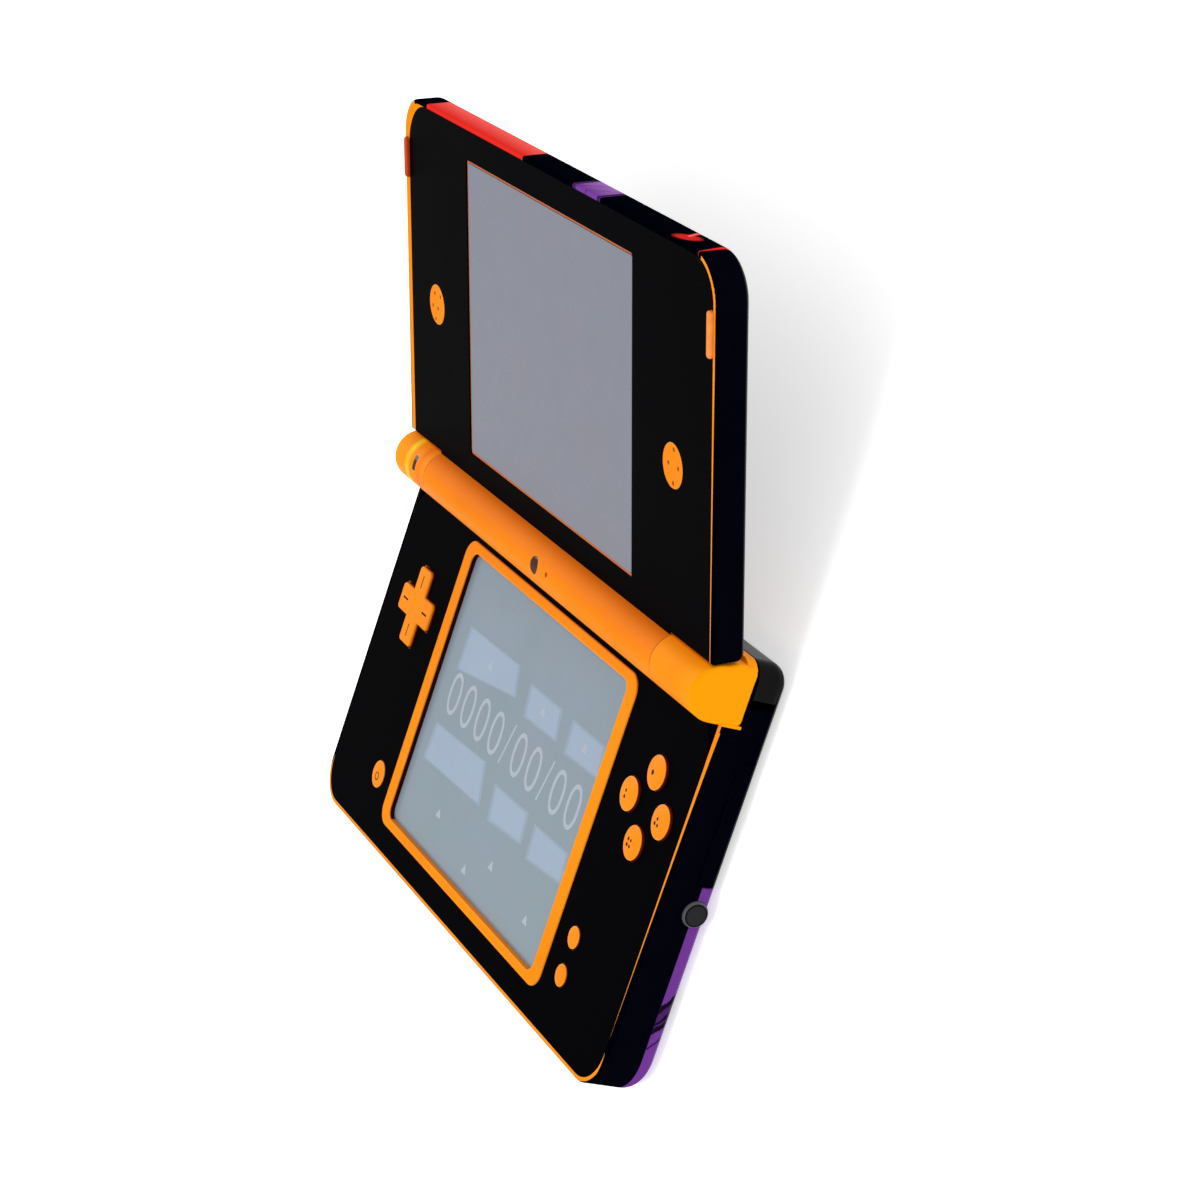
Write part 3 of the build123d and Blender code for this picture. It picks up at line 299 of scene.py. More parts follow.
def moulded(name, color, rough=0.35, grain=0.15, wear_and_highlight=None, coat=0.0, specular=0.12, mask=None):
    """Injection-moulded plastic: soft edges, fine grain, mottled tone, and pale edges that are partly worn
    plastic and partly a painted highlight.
    """
    graph = Graph(name)
    tone = graph.noise(180.0, 5.0, 0.6)
    wide = graph.noise(28.0, 3.0, 0.5)
    darker = darkened(color, 0.86)
    lighter = tuple(min(1.0, channel * 1.10 + 0.002) for channel in color[:3]) + (1.0,)
    base = graph.mix(graph.remap(wide, 0.3, 0.7, 0, 1), darker, lighter)
    base = graph.mix(graph.remap(tone, 0.35, 0.65, 0.0, 0.35), base, color)
    if wear_and_highlight is not None:
        # Pale edges: partly worn plastic, partly a painted edge highlight.
        patchy = graph.remap(tone, 0.35, 0.6, 0.25, 1.0)
        rubbed_and_lit = graph.math("MULTIPLY", graph.edge_mask(0.45 * MM), patchy)
        base = graph.mix(graph.math("MULTIPLY", rubbed_and_lit, 0.55), base, wear_and_highlight)
    if mask is not None:
        base = mask(graph, base)
    fine = graph.noise(5200.0, 2.0, 0.6)
    normal = graph.bump(fine, grain, 0.02 * MM, graph.soft_edges(0.12 * MM))
    roughness = graph.remap(tone, 0.3, 0.7, rough - 0.05, rough + 0.07)
    if graph.film is not None:
        specular = graph.remap(graph.film, 0.0, 1.0, specular, 0.0)
    return graph.set(color=base, rough=roughness, normal=normal, coat=coat, coat_rough=0.12,
                     specular=specular)


def recess_shadow(graph, base):
    """The wall inside the touch window is painted dark brown, as painted shade in the recess."""
    x, y, z = graph.axes()
    margin = 1.6 * MM
    inside_x = graph.between(x, PANEL_LOW.x + margin, PANEL_HIGH.x - margin)
    inside_y = graph.between(y, PANEL_LOW.y + margin, PANEL_HIGH.y - margin)
    low = graph.math("LESS_THAN", z, SKIN_HIGH.z + 0.05 * MM)
    return graph.mix(graph.all_of(inside_x, inside_y, low), base, SHADOW_BROWN)


def beyond_skin(graph, x, y):
    """How far a point lies outside the face film's rounded outline, towards the sides or the front."""
    corner = 8.0 * MM
    across = graph.past(graph.math("ABSOLUTE", x), SKIN_HIGH.x - corner)
    along = graph.math("MAXIMUM", graph.math("SUBTRACT", SKIN_LOW.y + corner, y), 0.0)
    return graph.math("SUBTRACT", graph.length(across, along), corner)


def base_rim(graph, base):
    """Black film laps over the rim and leaves an orange line that thins towards the front."""
    x, y, z = graph.axes()
    away = beyond_skin(graph, x, y)
    side = graph.remap(y, BASE_Y - 37 * MM, BASE_Y + 32 * MM, 0.0, 1.15 * MM)
    side = graph.math("MULTIPLY", side, graph.math("GREATER_THAN", x, 0.0))
    nose = graph.remap(y, BASE_Y - 36 * MM, BASE_Y - 41 * MM, 0.0, 0.80 * MM)
    line = graph.math("MAXIMUM", side, nose)
    outside = graph.math("GREATER_THAN", away, line)
    front = graph.math("LESS_THAN", y, KNUCKLE_FRONT)
    edge = graph.math("GREATER_THAN", away, 0.0)
    lap = graph.all_of(outside, front, edge)
    span = graph.between(graph.math("ABSOLUTE", x), 66 * MM, SKIN_HIGH.x)
    shelf = graph.math("MULTIPLY", graph.between(y, BASE_Y + 20 * MM, KNUCKLE_FRONT), span)
    return graph.cover(graph.math("MAXIMUM", lap, shelf), base, NAVY_BLACK)


def knuckle_painted_light(graph, base):
    """Painted light on the hinge knuckles: yellower lit outer ends, and a painted gold highlight and a
    painted red glow beside the light slit.
    """
    x, y, z = graph.axes()
    rear = graph.math("GREATER_THAN", y, KNUCKLE_FRONT)
    out = graph.remap(graph.math("ABSOLUTE", x), 72 * MM, 80 * MM, 0, 1)
    base = graph.mix(graph.math("MULTIPLY", rear, out), base, ORANGE_LIT)
    face = graph.math("MULTIPLY", rear, graph.between(z, HINGE.z + 2.0 * MM, HINGE.z + 6.0 * MM, 0.9 * MM))
    low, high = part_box("status_light_guide")
    gleam = graph.between(x, low.x - 4.4 * MM, low.x - 2.2 * MM, 0.8 * MM)
    base = graph.mix(graph.all_of(gleam, face, 0.85), base, GOLD_HIGHLIGHT)
    glow = graph.between(x, high.x + 1.0 * MM, high.x + 2.8 * MM, 0.8 * MM)
    return graph.mix(graph.all_of(glow, face, 0.7), base, GLOW_RED)


# Film edges on the case, with painted shade in the touch window and painted light on the hinge knuckles.
def case_marks_and_painted_light(graph, base):
    return knuckle_painted_light(graph, base_rim(graph, recess_shadow(graph, base)))


def gap_shade(node, depth):
    """A mask maker: painted shade, where the sides of a key go dark red as they drop into their gap."""
    def mask(graph, base):
        low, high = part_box(node)
        x, y, z = graph.axes()
        deep = graph.remap(z, high.z - depth, high.z - depth + 0.2 * MM, 1, 0)
        return graph.mix(deep, base, GAP_SHADE_RED)
    return mask


def pad_groove_shade(graph, base):
    """Painted shade: dark brown in the four grooves of the D-pad, and dark sides in its gap."""
    top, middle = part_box("dpad")[1].z, centre("dpad")
    half, near, far = 0.27 * MM, 4.2 * MM, 7.4 * MM
    x, y, z = graph.axes()
    base = gap_shade("dpad", 0.75 * MM)(graph, base)
    deep = graph.between(z, top - 0.60 * MM, top - 0.12 * MM)
    across = graph.math("ABSOLUTE", graph.math("SUBTRACT", x, middle.x))
    along = graph.math("ABSOLUTE", graph.math("SUBTRACT", y, middle.y))
    first = graph.math("MULTIPLY", graph.math("LESS_THAN", across, half), graph.between(along, near, far))
    second = graph.math("MULTIPLY", graph.math("LESS_THAN", along, half), graph.between(across, near, far))
    groove = graph.math("MULTIPLY", graph.math("MAXIMUM", first, second), deep)
    return graph.mix(groove, base, GROOVE_SHADE_BROWN)


def lid_print(graph, base, x, z, wall):
    """The colour fields printed on the lid's far wall, wherever the wall mask is 1."""
    fade = graph.remap(z, -5.5 * MM, 1.0 * MM, 0, 1)
    red = graph.mix(fade, RED, RED_DEEP)
    base = graph.strip(base, x, *RED_FIELD, red, wall)
    violet = graph.mix(fade, PURPLE_PALE, PURPLE)
    base = graph.strip(base, x, *PURPLE_FIELD, violet, wall)
    for place in PURPLE_LINES:
        base = graph.strip(base, x, (place - PURPLE_HALF) * MM, (place + PURPLE_HALF) * MM, PURPLE, wall)
    steep = graph.math("ADD", x, graph.math("MULTIPLY", z, 0.9))
    inside = graph.math("MULTIPLY", wall, graph.between(x, *PURPLE_FIELD))
    for place in INK_LINES:
        base = graph.strip(base, steep, (place - INK_HALF) * MM, (place + INK_HALF) * MM, INK, inside)
    left = graph.math("SUBTRACT", x, graph.math("MULTIPLY", z, 0.16))
    right = graph.math("ADD", x, graph.math("MULTIPLY", z, 0.04))
    after, before = graph.math("GREATER_THAN", left, WEDGE[0]), graph.math("LESS_THAN", right, WEDGE[1])
    base = graph.mix(graph.all_of(after, before, wall), base, RED_DEEP)
    offset = graph.math("SUBTRACT", x, BLOB_X)
    lean = graph.math("ADD", z, graph.math("MULTIPLY", offset, 0.3))
    blob_x = graph.math("DIVIDE", offset, BLOB_WIDE)
    blob_z = graph.math("DIVIDE", graph.math("SUBTRACT", lean, BLOB_Z), BLOB_HIGH)
    radius = graph.math("ADD", graph.math("MULTIPLY", blob_x, blob_x), graph.math("MULTIPLY", blob_z, blob_z))
    blob = graph.math("MULTIPLY", graph.remap(radius, 0.45, 1.2, 1, 0), wall)
    base = graph.mix(graph.math("MULTIPLY", blob, 0.85), base, RED_DEEP)
    stem = graph.math("SUBTRACT", x, graph.math("MULTIPLY", z, 0.41))
    behind = graph.math("MULTIPLY", wall, graph.math("LESS_THAN", z, -1.4 * MM))
    return graph.strip(base, stem, *STEM, RED, behind, 0.0003)


def far_wall(graph, y, start):
    """1 on the lid's far wall, from a given distance short of the lid's end."""
    return graph.remap(y, LID_LENGTH - start - 0.1 * MM, LID_LENGTH - start + 0.1 * MM, 0, 1)


def lid_rim(graph, base):
    """Film covers the frame's far rim and flanks; painted shade darkens the barrel towards the lid."""
    x, y, z = graph.axes(lid=True)
    width = graph.math("ABSOLUTE", x)
    straight = graph.math("LESS_THAN", width, HALF_WIDTH - 6.5 * MM)
    far = graph.math("MULTIPLY", far_wall(graph, y, 1.3 * MM), straight)
    barrel = graph.math("LESS_THAN", y, 6.3 * MM)
    # Painted shade on the hinge barrel, deeper towards the lid.
    turn = graph.math("SUBTRACT", y, graph.math("MULTIPLY", z, 0.2))
    shade = graph.math("MULTIPLY", graph.remap(turn, -2.0 * MM, 5.4 * MM, 0, 0.75), barrel)
    base = graph.mix(shade, base, ORANGE_SHADE)
    narrow = graph.math("LESS_THAN", width, 44 * MM)
    opening = graph.math("MULTIPLY", narrow, graph.between(y, 11 * MM, 77 * MM))
    base = graph.mix(opening, base, WINDOW_LINE)
    corner = 9.0 * MM
    away = graph.length(graph.past(width, HALF_WIDTH - corner), graph.past(y, LID_LENGTH - corner))
    line = graph.remap(y, 8 * MM, 62 * MM, corner - 0.80 * MM, corner - 0.30 * MM)
    flank = graph.math("GREATER_THAN", away, line)
    flank = graph.math("MULTIPLY", flank, graph.math("GREATER_THAN", y, 6.0 * MM))
    base = graph.cover(graph.math("MAXIMUM", far, flank), base, NAVY_BLACK)
    return lid_print(graph, base, x, z, far_wall(graph, y, 0.9 * MM))


def lid_film_edge(graph, base):
    """The lid's film stops short of the left edge and its corner, and lets the orange frame show."""
    x, y, z = graph.axes(lid=True)
    corner = 10.5 * MM
    across = graph.past(graph.math("MULTIPLY", x, -1.0), 77.8 * MM - corner)
    along = graph.past(y, lid_reach("lid_face_skin") - corner)
    bare = graph.remap(graph.length(across, along), corner + 0.02 * MM, corner + 0.10 * MM, 0, 1)
    bare = graph.math("MULTIPLY", bare, graph.math("LESS_THAN", x, 0.0))
    return graph.mix(bare, base, ORANGE)


def bumper_shade(graph, base):
    """Painted shade: the left bumper is coloured darker and redder than the right one."""
    x, y, z = graph.axes()
    return graph.mix(graph.math("LESS_THAN", x, 0.0), base, BUMPER_SHADE_RED)


def stylus_end(graph, base):
    """The stylus end shows a dark button inside a thin black ring of painted gap shade, and a paler rim that
    is a painted highlight.
    """
    low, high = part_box("stylus")
    middle, reach = centre("stylus"), (high.y - low.y) / 2
    x, y, z = graph.axes()
    radius = graph.length(graph.math("SUBTRACT", y, middle.y), graph.math("SUBTRACT", z, middle.z))
    end = graph.math("GREATER_THAN", x, high.x - 0.8 * MM)
    base = graph.strip(base, radius, reach - 0.75 * MM, reach - 0.35 * MM, GAP_SHADE_BLACK, end)
    return graph.strip(base, radius, reach - 0.35 * MM, reach + 0.10 * MM, RIM_HIGHLIGHT_GREY, end)


def black_film(name, mask=None):
    """Printed vinyl film: near black, satin, with faint orange peel and lint."""
    graph = Graph(name)
    cloud = graph.noise(22.0, 4.0, 0.55)
    speck = graph.noise(2600.0, 1.0, 0.5)
    lint = graph.remap(speck, 0.74, 0.82, 0.0, 0.05)
    base = graph.mix(graph.remap(cloud, 0.3, 0.7, 0, 1), FACE_BLACK, srgb(3, 3, 5))
    base = graph.mix(lint, base, srgb(40, 40, 44))
    if mask is not None:
        base = mask(graph, base)
    peel = graph.noise(420.0, 2.0, 0.4)
    normal = graph.bump(peel, 0.05, 0.05 * MM, graph.soft_edges(0.08 * MM))
    roughness = graph.remap(cloud, 0.3, 0.7, 0.34, 0.46)
    return graph.set(color=base, rough=roughness, normal=normal, specular=0.004)


def shell_film(name, decorate=None, lid=False):
    """The outer shells' wrap: navy black with printed colour fields; on the two broad faces a lighter colour
    as painted sheen, with more real shine.
    """
    graph = Graph(name)
    cloud = graph.noise(30.0, 4.0, 0.55)
    base = graph.mix(graph.remap(cloud, 0.3, 0.7, 0, 1), NAVY_BLACK, srgb(3, 4, 11))
    broad = graph.outward(lid)
    weave = graph.noise(260.0, 3.0, 0.6)
    # Painted sheen: the broad faces are coloured lighter.
    satin = graph.mix(graph.remap(weave, 0.35, 0.65, 0, 1), srgb(13, 14, 24), srgb(20, 21, 33))
    base = graph.mix(broad, base, satin)
    if decorate is not None:
        base = decorate(graph, base)
    dots = graph.noise(1500.0, 2.0, 0.5)
    base = graph.mix(graph.remap(dots, 0.35, 0.65, 0.0, 0.08), base, srgb(12, 10, 22))
    peel = graph.noise(900.0, 2.0, 0.5)
    normal = graph.bump(peel, 0.08, 0.04 * MM, graph.soft_edges(0.12 * MM))
    return graph.set(color=base, rough=graph.remap(cloud, 0.3, 0.7, 0.30, 0.42), normal=normal,
                     specular=graph.remap(broad, 0, 1, 0.0, 0.18))


def lid_bands(graph, base):
    """Colour fields along the lid's far wall."""
    x, y, z = graph.axes(lid=True)
    return lid_print(graph, base, x, z, far_wall(graph, y, 2.2 * MM))


def base_bands(graph, base):
    """The purple field low on the right wall of the base, with loose ink strokes."""
    x, y, z = graph.axes()
    side = graph.remap(x, HALF_WIDTH - 5.0 * MM, HALF_WIDTH - 4.8 * MM, 0, 1)
    low = graph.remap(z, 4.3 * MM, 4.4 * MM, 1, 0)
    field = graph.math("MULTIPLY", side, low)
    weave = graph.noise(3000.0, 1.0, 0.5, kind="ShaderNodeTexVoronoi")
    violet = graph.mix(graph.remap(weave, 0.1, 0.6, 0, 0.6), PURPLE, WEAVE_PURPLE)
    y = graph.math("SUBTRACT", y, BASE_Y)
    base = graph.strip(base, y, -50 * MM, 0.2 * MM, violet, field, 0.0002)
    lean = graph.math("ADD", y, graph.math("MULTIPLY", z, 0.8))
    wobble = graph.math("SUBTRACT", graph.noise(350.0, 3.0, 0.6), 0.5)
    lean = graph.math("ADD", lean, graph.math("MULTIPLY", wobble, 2.0 * MM))
    base = graph.strip(base, lean, -27.4 * MM, -22.4 * MM, INK_WASH, field, 0.0006)
    for place, width in STROKES:
        base = graph.strip(base, lean, (place - width) * MM, (place + width) * MM, INK, field, 0.00015)
    return base


def screen_film(name, first_color, second_color, cold, lid=False):
    """A switched-on but pale display under a satin cover film: two tones across it, with cold clouds."""
    graph = Graph(name)
    x, y, z = graph.axes(lid)
    middle = TO_LID @ centre("upper_screen_window") if lid else SCREEN_CENTRE
    across = graph.math("DIVIDE", graph.math("SUBTRACT", x, middle.x), 43 * MM)
    along = graph.math("DIVIDE", graph.math("SUBTRACT", y, middle.y), 32 * MM)
    diagonal = graph.math("SUBTRACT", along, graph.math("MULTIPLY", across, 0.6))
    base = graph.mix(graph.remap(diagonal, -1.4, 1.4, 0, 1), first_color, second_color)
    cloud = graph.noise(55.0, 5.0, 0.6)
    base = graph.mix(graph.remap(cloud, 0.35, 0.7, 0.0, 0.45), base, cold)
    mottle = graph.noise(150.0, 3.0, 0.6)
    base = graph.mix(graph.remap(mottle, 0.3, 0.7, 0.0, 0.08), base, srgb(156, 138, 152))
    return graph.set(color=base, rough=graph.remap(cloud, 0.3, 0.7, 0.22, 0.34), coat=0.1, coat_rough=0.15,
                     specular=0.2, glow=base, glow_power=0.06)


def rubber(name, color, rough=0.75, mask=None):
    graph = Graph(name)
    tone = graph.noise(400.0, 4.0, 0.6)
    base = graph.mix(graph.remap(tone, 0.3, 0.7, 0, 1), darkened(color, 0.8), color)
    if mask is not None:
        base = mask(graph, base)
    normal = graph.bump(graph.noise(3500.0, 3.0, 0.6), 0.25, 0.03 * MM, graph.soft_edges(0.12 * MM))
    return graph.set(color=base, rough=rough, normal=normal, specular=0.15)


def metal(name, color, rough=0.28):
    graph = Graph(name)
    fine = graph.noise(1400.0, 3.0, 0.6)
    tone = graph.noise(90.0, 4.0, 0.5)
    base = graph.mix(graph.remap(tone, 0.3, 0.7, 0, 1), darkened(color, 0.72), color)
    normal = graph.bump(fine, 0.12, 0.01 * MM, graph.soft_edges(0.08 * MM))
    return graph.set(color=base, rough=graph.remap(fine, 0.3, 0.7, rough - 0.06, rough + 0.12),
                     metal=1.0, normal=normal, aniso=0.3)


def circuit(name):
    """Solder mask with copper tracks just under it."""
    graph = Graph(name)
    tracks = graph.noise(260.0, 0.0, 0.5, kind="ShaderNodeTexVoronoi")
    lines = graph.remap(tracks, 0.42, 0.45, 0, 1)
    base = graph.mix(lines, srgb(14, 74, 44), srgb(26, 108, 62))
    pads = graph.noise(700.0, 0.0, 0.5, kind="ShaderNodeTexVoronoi")
    base = graph.mix(graph.remap(pads, 0.10, 0.07, 0, 1), base, srgb(196, 160, 84))
    normal = graph.bump(lines, 0.3, 0.03 * MM)
    return graph.set(color=base, rough=0.32, normal=normal, coat=0.2)


def lens(name, color, glint):
    graph = Graph(name)
    rim = graph.add("ShaderNodeLayerWeight")
    rim.inputs["Blend"].default_value = 0.35
    base = graph.mix(rim.outputs["Facing"], color, glint)
    return graph.set(color=base, rough=0.08, coat=0.04, specular=0.15,
                     normal=graph.bump(graph.noise(300.0), 0.02, 0.01 * MM))


def wrap_foil(name):
    """The battery's printed sleeve."""
    graph = Graph(name)
    x, y, z = graph.axes()
    low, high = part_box("battery")
    tone = graph.noise(120.0, 4.0, 0.6)
    base = graph.mix(graph.remap(tone, 0.3, 0.7, 0, 1), srgb(72, 76, 82), srgb(92, 96, 104))
    base = graph.strip(base, y, high.y - 5 * MM, high.y - 4 * MM, srgb(210, 210, 204))
    base = graph.strip(base, x, low.x, low.x + 6 * MM, srgb(40, 42, 48))
    return graph.set(color=base, rough=0.42, normal=graph.bump(graph.noise(1500.0), 0.1, 0.02 * MM))


KEYS = {"key": "face_button_top", "small_key": "small_button_upper", "power_key": "power_button"}


def make_materials():
    shade = {}
    shade["case"] = moulded("orange_case", ORANGE, 0.42, wear_and_highlight=ORANGE_PALE, mask=case_marks_and_painted_light, specular=0.03)
    shade["lid_case"] = moulded("orange_lid", ORANGE, 0.42, wear_and_highlight=ORANGE_PALE, mask=lid_rim, specular=0.03)
    shade["pad"] = moulded("orange_pad", ORANGE, 0.42, grain=0.25, wear_and_highlight=ORANGE_PALE, mask=pad_groove_shade,
                           specular=0.06)
    for name, node in KEYS.items():
        shade[name] = moulded(f"orange_{name}", ORANGE, 0.30, grain=0.10, wear_and_highlight=ORANGE_PALE, coat=0.06,
                              mask=gap_shade(node, 0.55 * MM), specular=0.06)
    shade["face"] = black_film("face_film")
    shade["lid_face"] = black_film("lid_face_film", lid_film_edge)
    shade["base_shell"] = shell_film("base_wrap", base_bands)
    shade["lid_shell"] = shell_film("lid_wrap", lid_bands, lid=True)
    shade["plain_shell"] = shell_film("plain_wrap")
    for name, tones in SCREEN_TONES.items():
        shade[name] = screen_film(f"{name}_film", *(srgb(*tone) for tone in tones), lid=name == "window")
    shade["black"] = moulded("black_plastic", srgb(26, 26, 29), 0.5, grain=0.5)
    shade["stylus"] = moulded("stylus_black", srgb(30, 30, 33), 0.5, grain=0.5, specular=0.08,
                              mask=stylus_end)
    shade["gloss"] = moulded("gloss_black", srgb(5, 5, 8), 0.16, grain=0.02, coat=0.02, specular=0.05)
    shade["feet"] = rubber("feet_rubber", srgb(34, 34, 36))
    shade["bumper"] = rubber("bumper_rubber", srgb(250, 148, 62), 0.55, bumper_shade)
    shade["dome"] = rubber("dome_rubber", srgb(150, 152, 156))
    shade["steel"] = metal("steel", srgb(190, 192, 196))
    shade["screw"] = metal("screw_steel", srgb(120, 122, 126), 0.35)
    shade["board"] = circuit("circuit_board")
    shade["chip"] = moulded("chip_resin", srgb(26, 26, 28), 0.6, grain=0.6)
    shade["lcd"] = lens("lcd_glass", srgb(60, 66, 72), srgb(120, 126, 132))
    shade["backlight"] = moulded("backlight_film", srgb(232, 232, 226), 0.4)
    shade["lens"] = lens("lens_glass", srgb(30, 4, 1), srgb(60, 14, 5))
    shade["out_lens"] = lens("outer_lens_glass", srgb(8, 9, 14), srgb(60, 70, 90))
    shade["light"] = lens("light_window", srgb(36, 6, 1), srgb(66, 18, 4))
    shade["mic"] = moulded("mic_mesh", srgb(40, 6, 2), 0.6, grain=0.4, specular=0.02)
    shade["foil"] = wrap_foil("battery_sleeve")
    shade["flex"] = moulded("flex_film", srgb(190, 116, 34), 0.3, coat=0.4)
    shade["ink"] = moulded("mark_ink", srgb(60, 16, 4), 0.45, grain=0.05)
    return shade


WEARS = {
    "case": "base_top_shell",
    "lid_case": "lid_inner_frame",
    "pad": "dpad",
    "key": "face_button_top face_button_left face_button_right face_button_bottom",
    "small_key": "small_button_upper small_button_lower",
    "power_key": "power_button",
    "face": "base_face_skin",
    "lid_face": "lid_face_skin",
    "base_shell": "base_bottom_shell memory_card_cover",
    "lid_shell": "lid_outer_shell",
    "plain_shell": "battery_cover",
    "touch": "touch_panel",
    "window": "upper_screen_window",
    "stylus": "stylus",
    "black": "volume_rocker volume_switch card_slot_housing audio_jack power_connector "
             "shoulder_switches speakers",
    "mic": "microphone",
    "gloss": "left_shoulder_button right_shoulder_button",
    "feet": "rubber_feet",
    "bumper": "lid_bumpers",
    "dome": "dpad_membrane face_button_membrane small_membranes",
    "steel": "shield_can shoulder_pins shoulder_springs memory_card_socket hinge_pin hinge_cartridge "
             "dpad_pivot",
    "screw": "battery_cover_screws case_screws lid_screws",
    "board": "main_board left_button_board right_button_board wireless_board",
    "chip": "board_chips inner_camera_module outer_camera_module",
    "lcd": "lower_lcd_panel upper_lcd_panel",
    "backlight": "lower_backlight upper_backlight",
    "lens": "inner_camera_lens",
    "out_lens": "outer_camera_lens",
    "light": "status_light_guide",
    "foil": "battery",
    "flex": "display_ribbon_cable",
}


def dress(obj, material):
    obj.data.materials.clear()
    obj.data.materials.append(material)


def dress_nodes(shade):
    for key, names in WEARS.items():
        for name in names.split():
            dress(NODES[name], shade[key])


# ---------------------------------------------------------------- mesh helpers

def attach(obj, material, body):
    """Link a new piece, dress it, and let it ride on a body."""
    bpy.context.scene.collection.objects.link(obj)
    dress(obj, material)
    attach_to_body(obj, body)


def new_piece(name, mesh_maker, material, body, smooth=True):
    """A mesh piece made by a function that fills a bmesh, riding on a body."""
    work = bmesh.new()
    mesh_maker(work)
    bmesh.ops.recalc_face_normals(work, faces=work.faces[:])
    mesh = bpy.data.meshes.new(name)
    work.to_mesh(mesh)
    work.free()
    for polygon in mesh.polygons:
        polygon.use_smooth = smooth
    attach(bpy.data.objects.new(name, mesh), material, body)


def add_dome(work, x, y, z, radius, height, rings=4, steps=24, sink=0.05 * MM):
    """A shallow closed dome that stands a little way into its surface."""
    rows = []
    for ring in range(rings):
        angle = math.pi / 2 * ring / rings
        reach = radius * math.cos(angle)
        level = z + height * math.sin(angle)
        rows.append([work.verts.new((x + reach * math.cos(turn), y + reach * math.sin(turn), level))
                     for turn in (2 * math.pi * step / steps for step in range(steps))])
    foot = [work.verts.new((vert.co.x, vert.co.y, z - sink)) for vert in rows[0]]
    rows.insert(0, foot)
    top = work.verts.new((x, y, z + height))
    for lower, upper in zip(rows, rows[1:]):
        for step in range(steps):
            after = (step + 1) % steps
            work.faces.new((lower[step], lower[after], upper[after], upper[step]))
    for step in range(steps):
        work.faces.new((rows[-1][step], rows[-1][(step + 1) % steps], top))
    work.faces.new(list(reversed(foot)))


def add_plate(work, corners, low, high):
    """A closed plate over a polygon of (x, y) corners."""
    bottom = [work.verts.new((x, y, low)) for x, y in corners]
    top = [work.verts.new((x, y, high)) for x, y in corners]
    count = len(corners)
    work.faces.new(top)
    work.faces.new(list(reversed(bottom)))
    for index in range(count):
        after = (index + 1) % count
        work.faces.new((bottom[index], bottom[after], top[after], top[index]))


# ---------------------------------------------------------------- pieces that CAD leaves plain

TALLIES = {
    "face_button_top": ((0.0, 0.0),),
    "face_button_left": ((0.0, 0.62), (0.0, -0.62)),
    "face_button_right": ((0.0, 0.62), (-0.62, -0.5), (0.62, -0.5)),
    "face_button_bottom": ((-0.58, 0.58), (0.58, 0.58), (-0.58, -0.58), (0.58, -0.58)),
}


def key_marks(shade):
    """Tally dots on the four round keys, one to four, a little left of each cap's centre."""
    for name, spots in TALLIES.items():
        middle, top = centre(name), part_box(name)[1].z
        radius = 0.62 * MM if len(spots) == 1 else 0.42 * MM

        def dots(work, spots=spots, middle=middle, top=top, radius=radius):
            for across, along in spots:
                add_dome(work, middle.x + (across - 0.8) * MM, middle.y + (along - 0.3) * MM,
                         top - 0.07 * MM, radius, 0.10 * MM)

        new_piece(f"mark_{name}", dots, shade["ink"], name)


def power_ring(shade):
    """The small ring mark on the power button."""
    middle, top = centre("power_button"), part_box("power_button")[1].z

    def ring(work):
        steps, tube = 36, 8
        radius, thick = 0.85 * MM, 0.14 * MM
        rows = []
        for step in range(steps):
            turn = 2 * math.pi * step / steps
            row = []
            for part in range(tube):
                angle = 2 * math.pi * part / tube
                reach = radius + thick * math.cos(angle)
                row.append(work.verts.new((middle.x + reach * math.cos(turn),
                                           middle.y - 0.5 * MM + reach * math.sin(turn),
                                           top - 0.03 * MM + 0.6 * thick * math.sin(angle))))
            rows.append(row)
        for step in range(steps):
            for part in range(tube):
                after, next_part = (step + 1) % steps, (part + 1) % tube
                work.faces.new((rows[step][part], rows[after][part],
                                rows[after][next_part], rows[step][next_part]))

    new_piece("mark_power_button", ring, shade["ink"], "power_button")


MENU_TILES = (
    ((-34.7, 17.2), (-6.4, 18.0), (-3.6, 11.4), (-34.8, 6.8)),
    ((0.5, 16.6), (17.6, 17.0), (19.4, 10.2), (1.9, 9.4)),
    ((23.0, 16.9), (39.7, 17.2), (41.3, 10.4), (23.6, 9.5)),
    ((-36.2, -6.3), (-7.3, -4.7), (-3.8, -13.7), (-37.0, -15.2)),
    ((-0.6, -6.9), (18.0, -6.3), (19.1, -13.1), (1.2, -14.8)),
    ((21.8, -7.0), (39.4, -6.4), (40.5, -13.0), (22.5, -14.7)),
)
MENU_ARROWS = (
    (-19.5, 13.0), (9.8, 13.4), (31.6, 13.6),
    (-21.0, -22.5), (-1.5, -27.5), (9.6, -22.0), (31.0, -25.0),
)


def inset(corners, depth):
    """The same polygon drawn a little smaller."""
    middle = sum((Vector(corner) for corner in corners), Vector((0, 0))) / len(corners)
    inward = [(middle - Vector(corner)).normalized() * depth for corner in corners]
    return [tuple(Vector(corner) + step) for corner, step in zip(corners, inward)]


def on_screen(corners):
    """Screen millimetres to row metres."""
    return [(SCREEN_CENTRE.x + x * MM, SCREEN_CENTRE.y + y * MM) for x, y in corners]


def screen_menu(shade):
    """The pale tiles and arrows of a menu on the touch screen."""
    level = PANEL_HIGH.z
    foot = level - 0.02 * MM

    def tiles(work):
        for corners in MENU_TILES:
            add_plate(work, on_screen(corners[::-1]), foot, level + 0.010 * MM)

    def cores(work):
        for corners in MENU_TILES:
            add_plate(work, on_screen(inset(corners[::-1], 1.3)), foot, level + 0.014 * MM)

    def arrows(work):
        for x, y in MENU_ARROWS:
            corners = ((x - 1.3, y - 0.8), (x + 1.3, y - 0.8), (x, y + 1.3))
            add_plate(work, on_screen(corners), foot, level + 0.020 * MM)

    new_piece("screen_tiles", tiles, shade["tile_edge"], "base", smooth=False)
    new_piece("screen_tile_cores", cores, shade["tile"], "base", smooth=False)
    new_piece("screen_arrows", arrows, shade["digit"], "base", smooth=False)


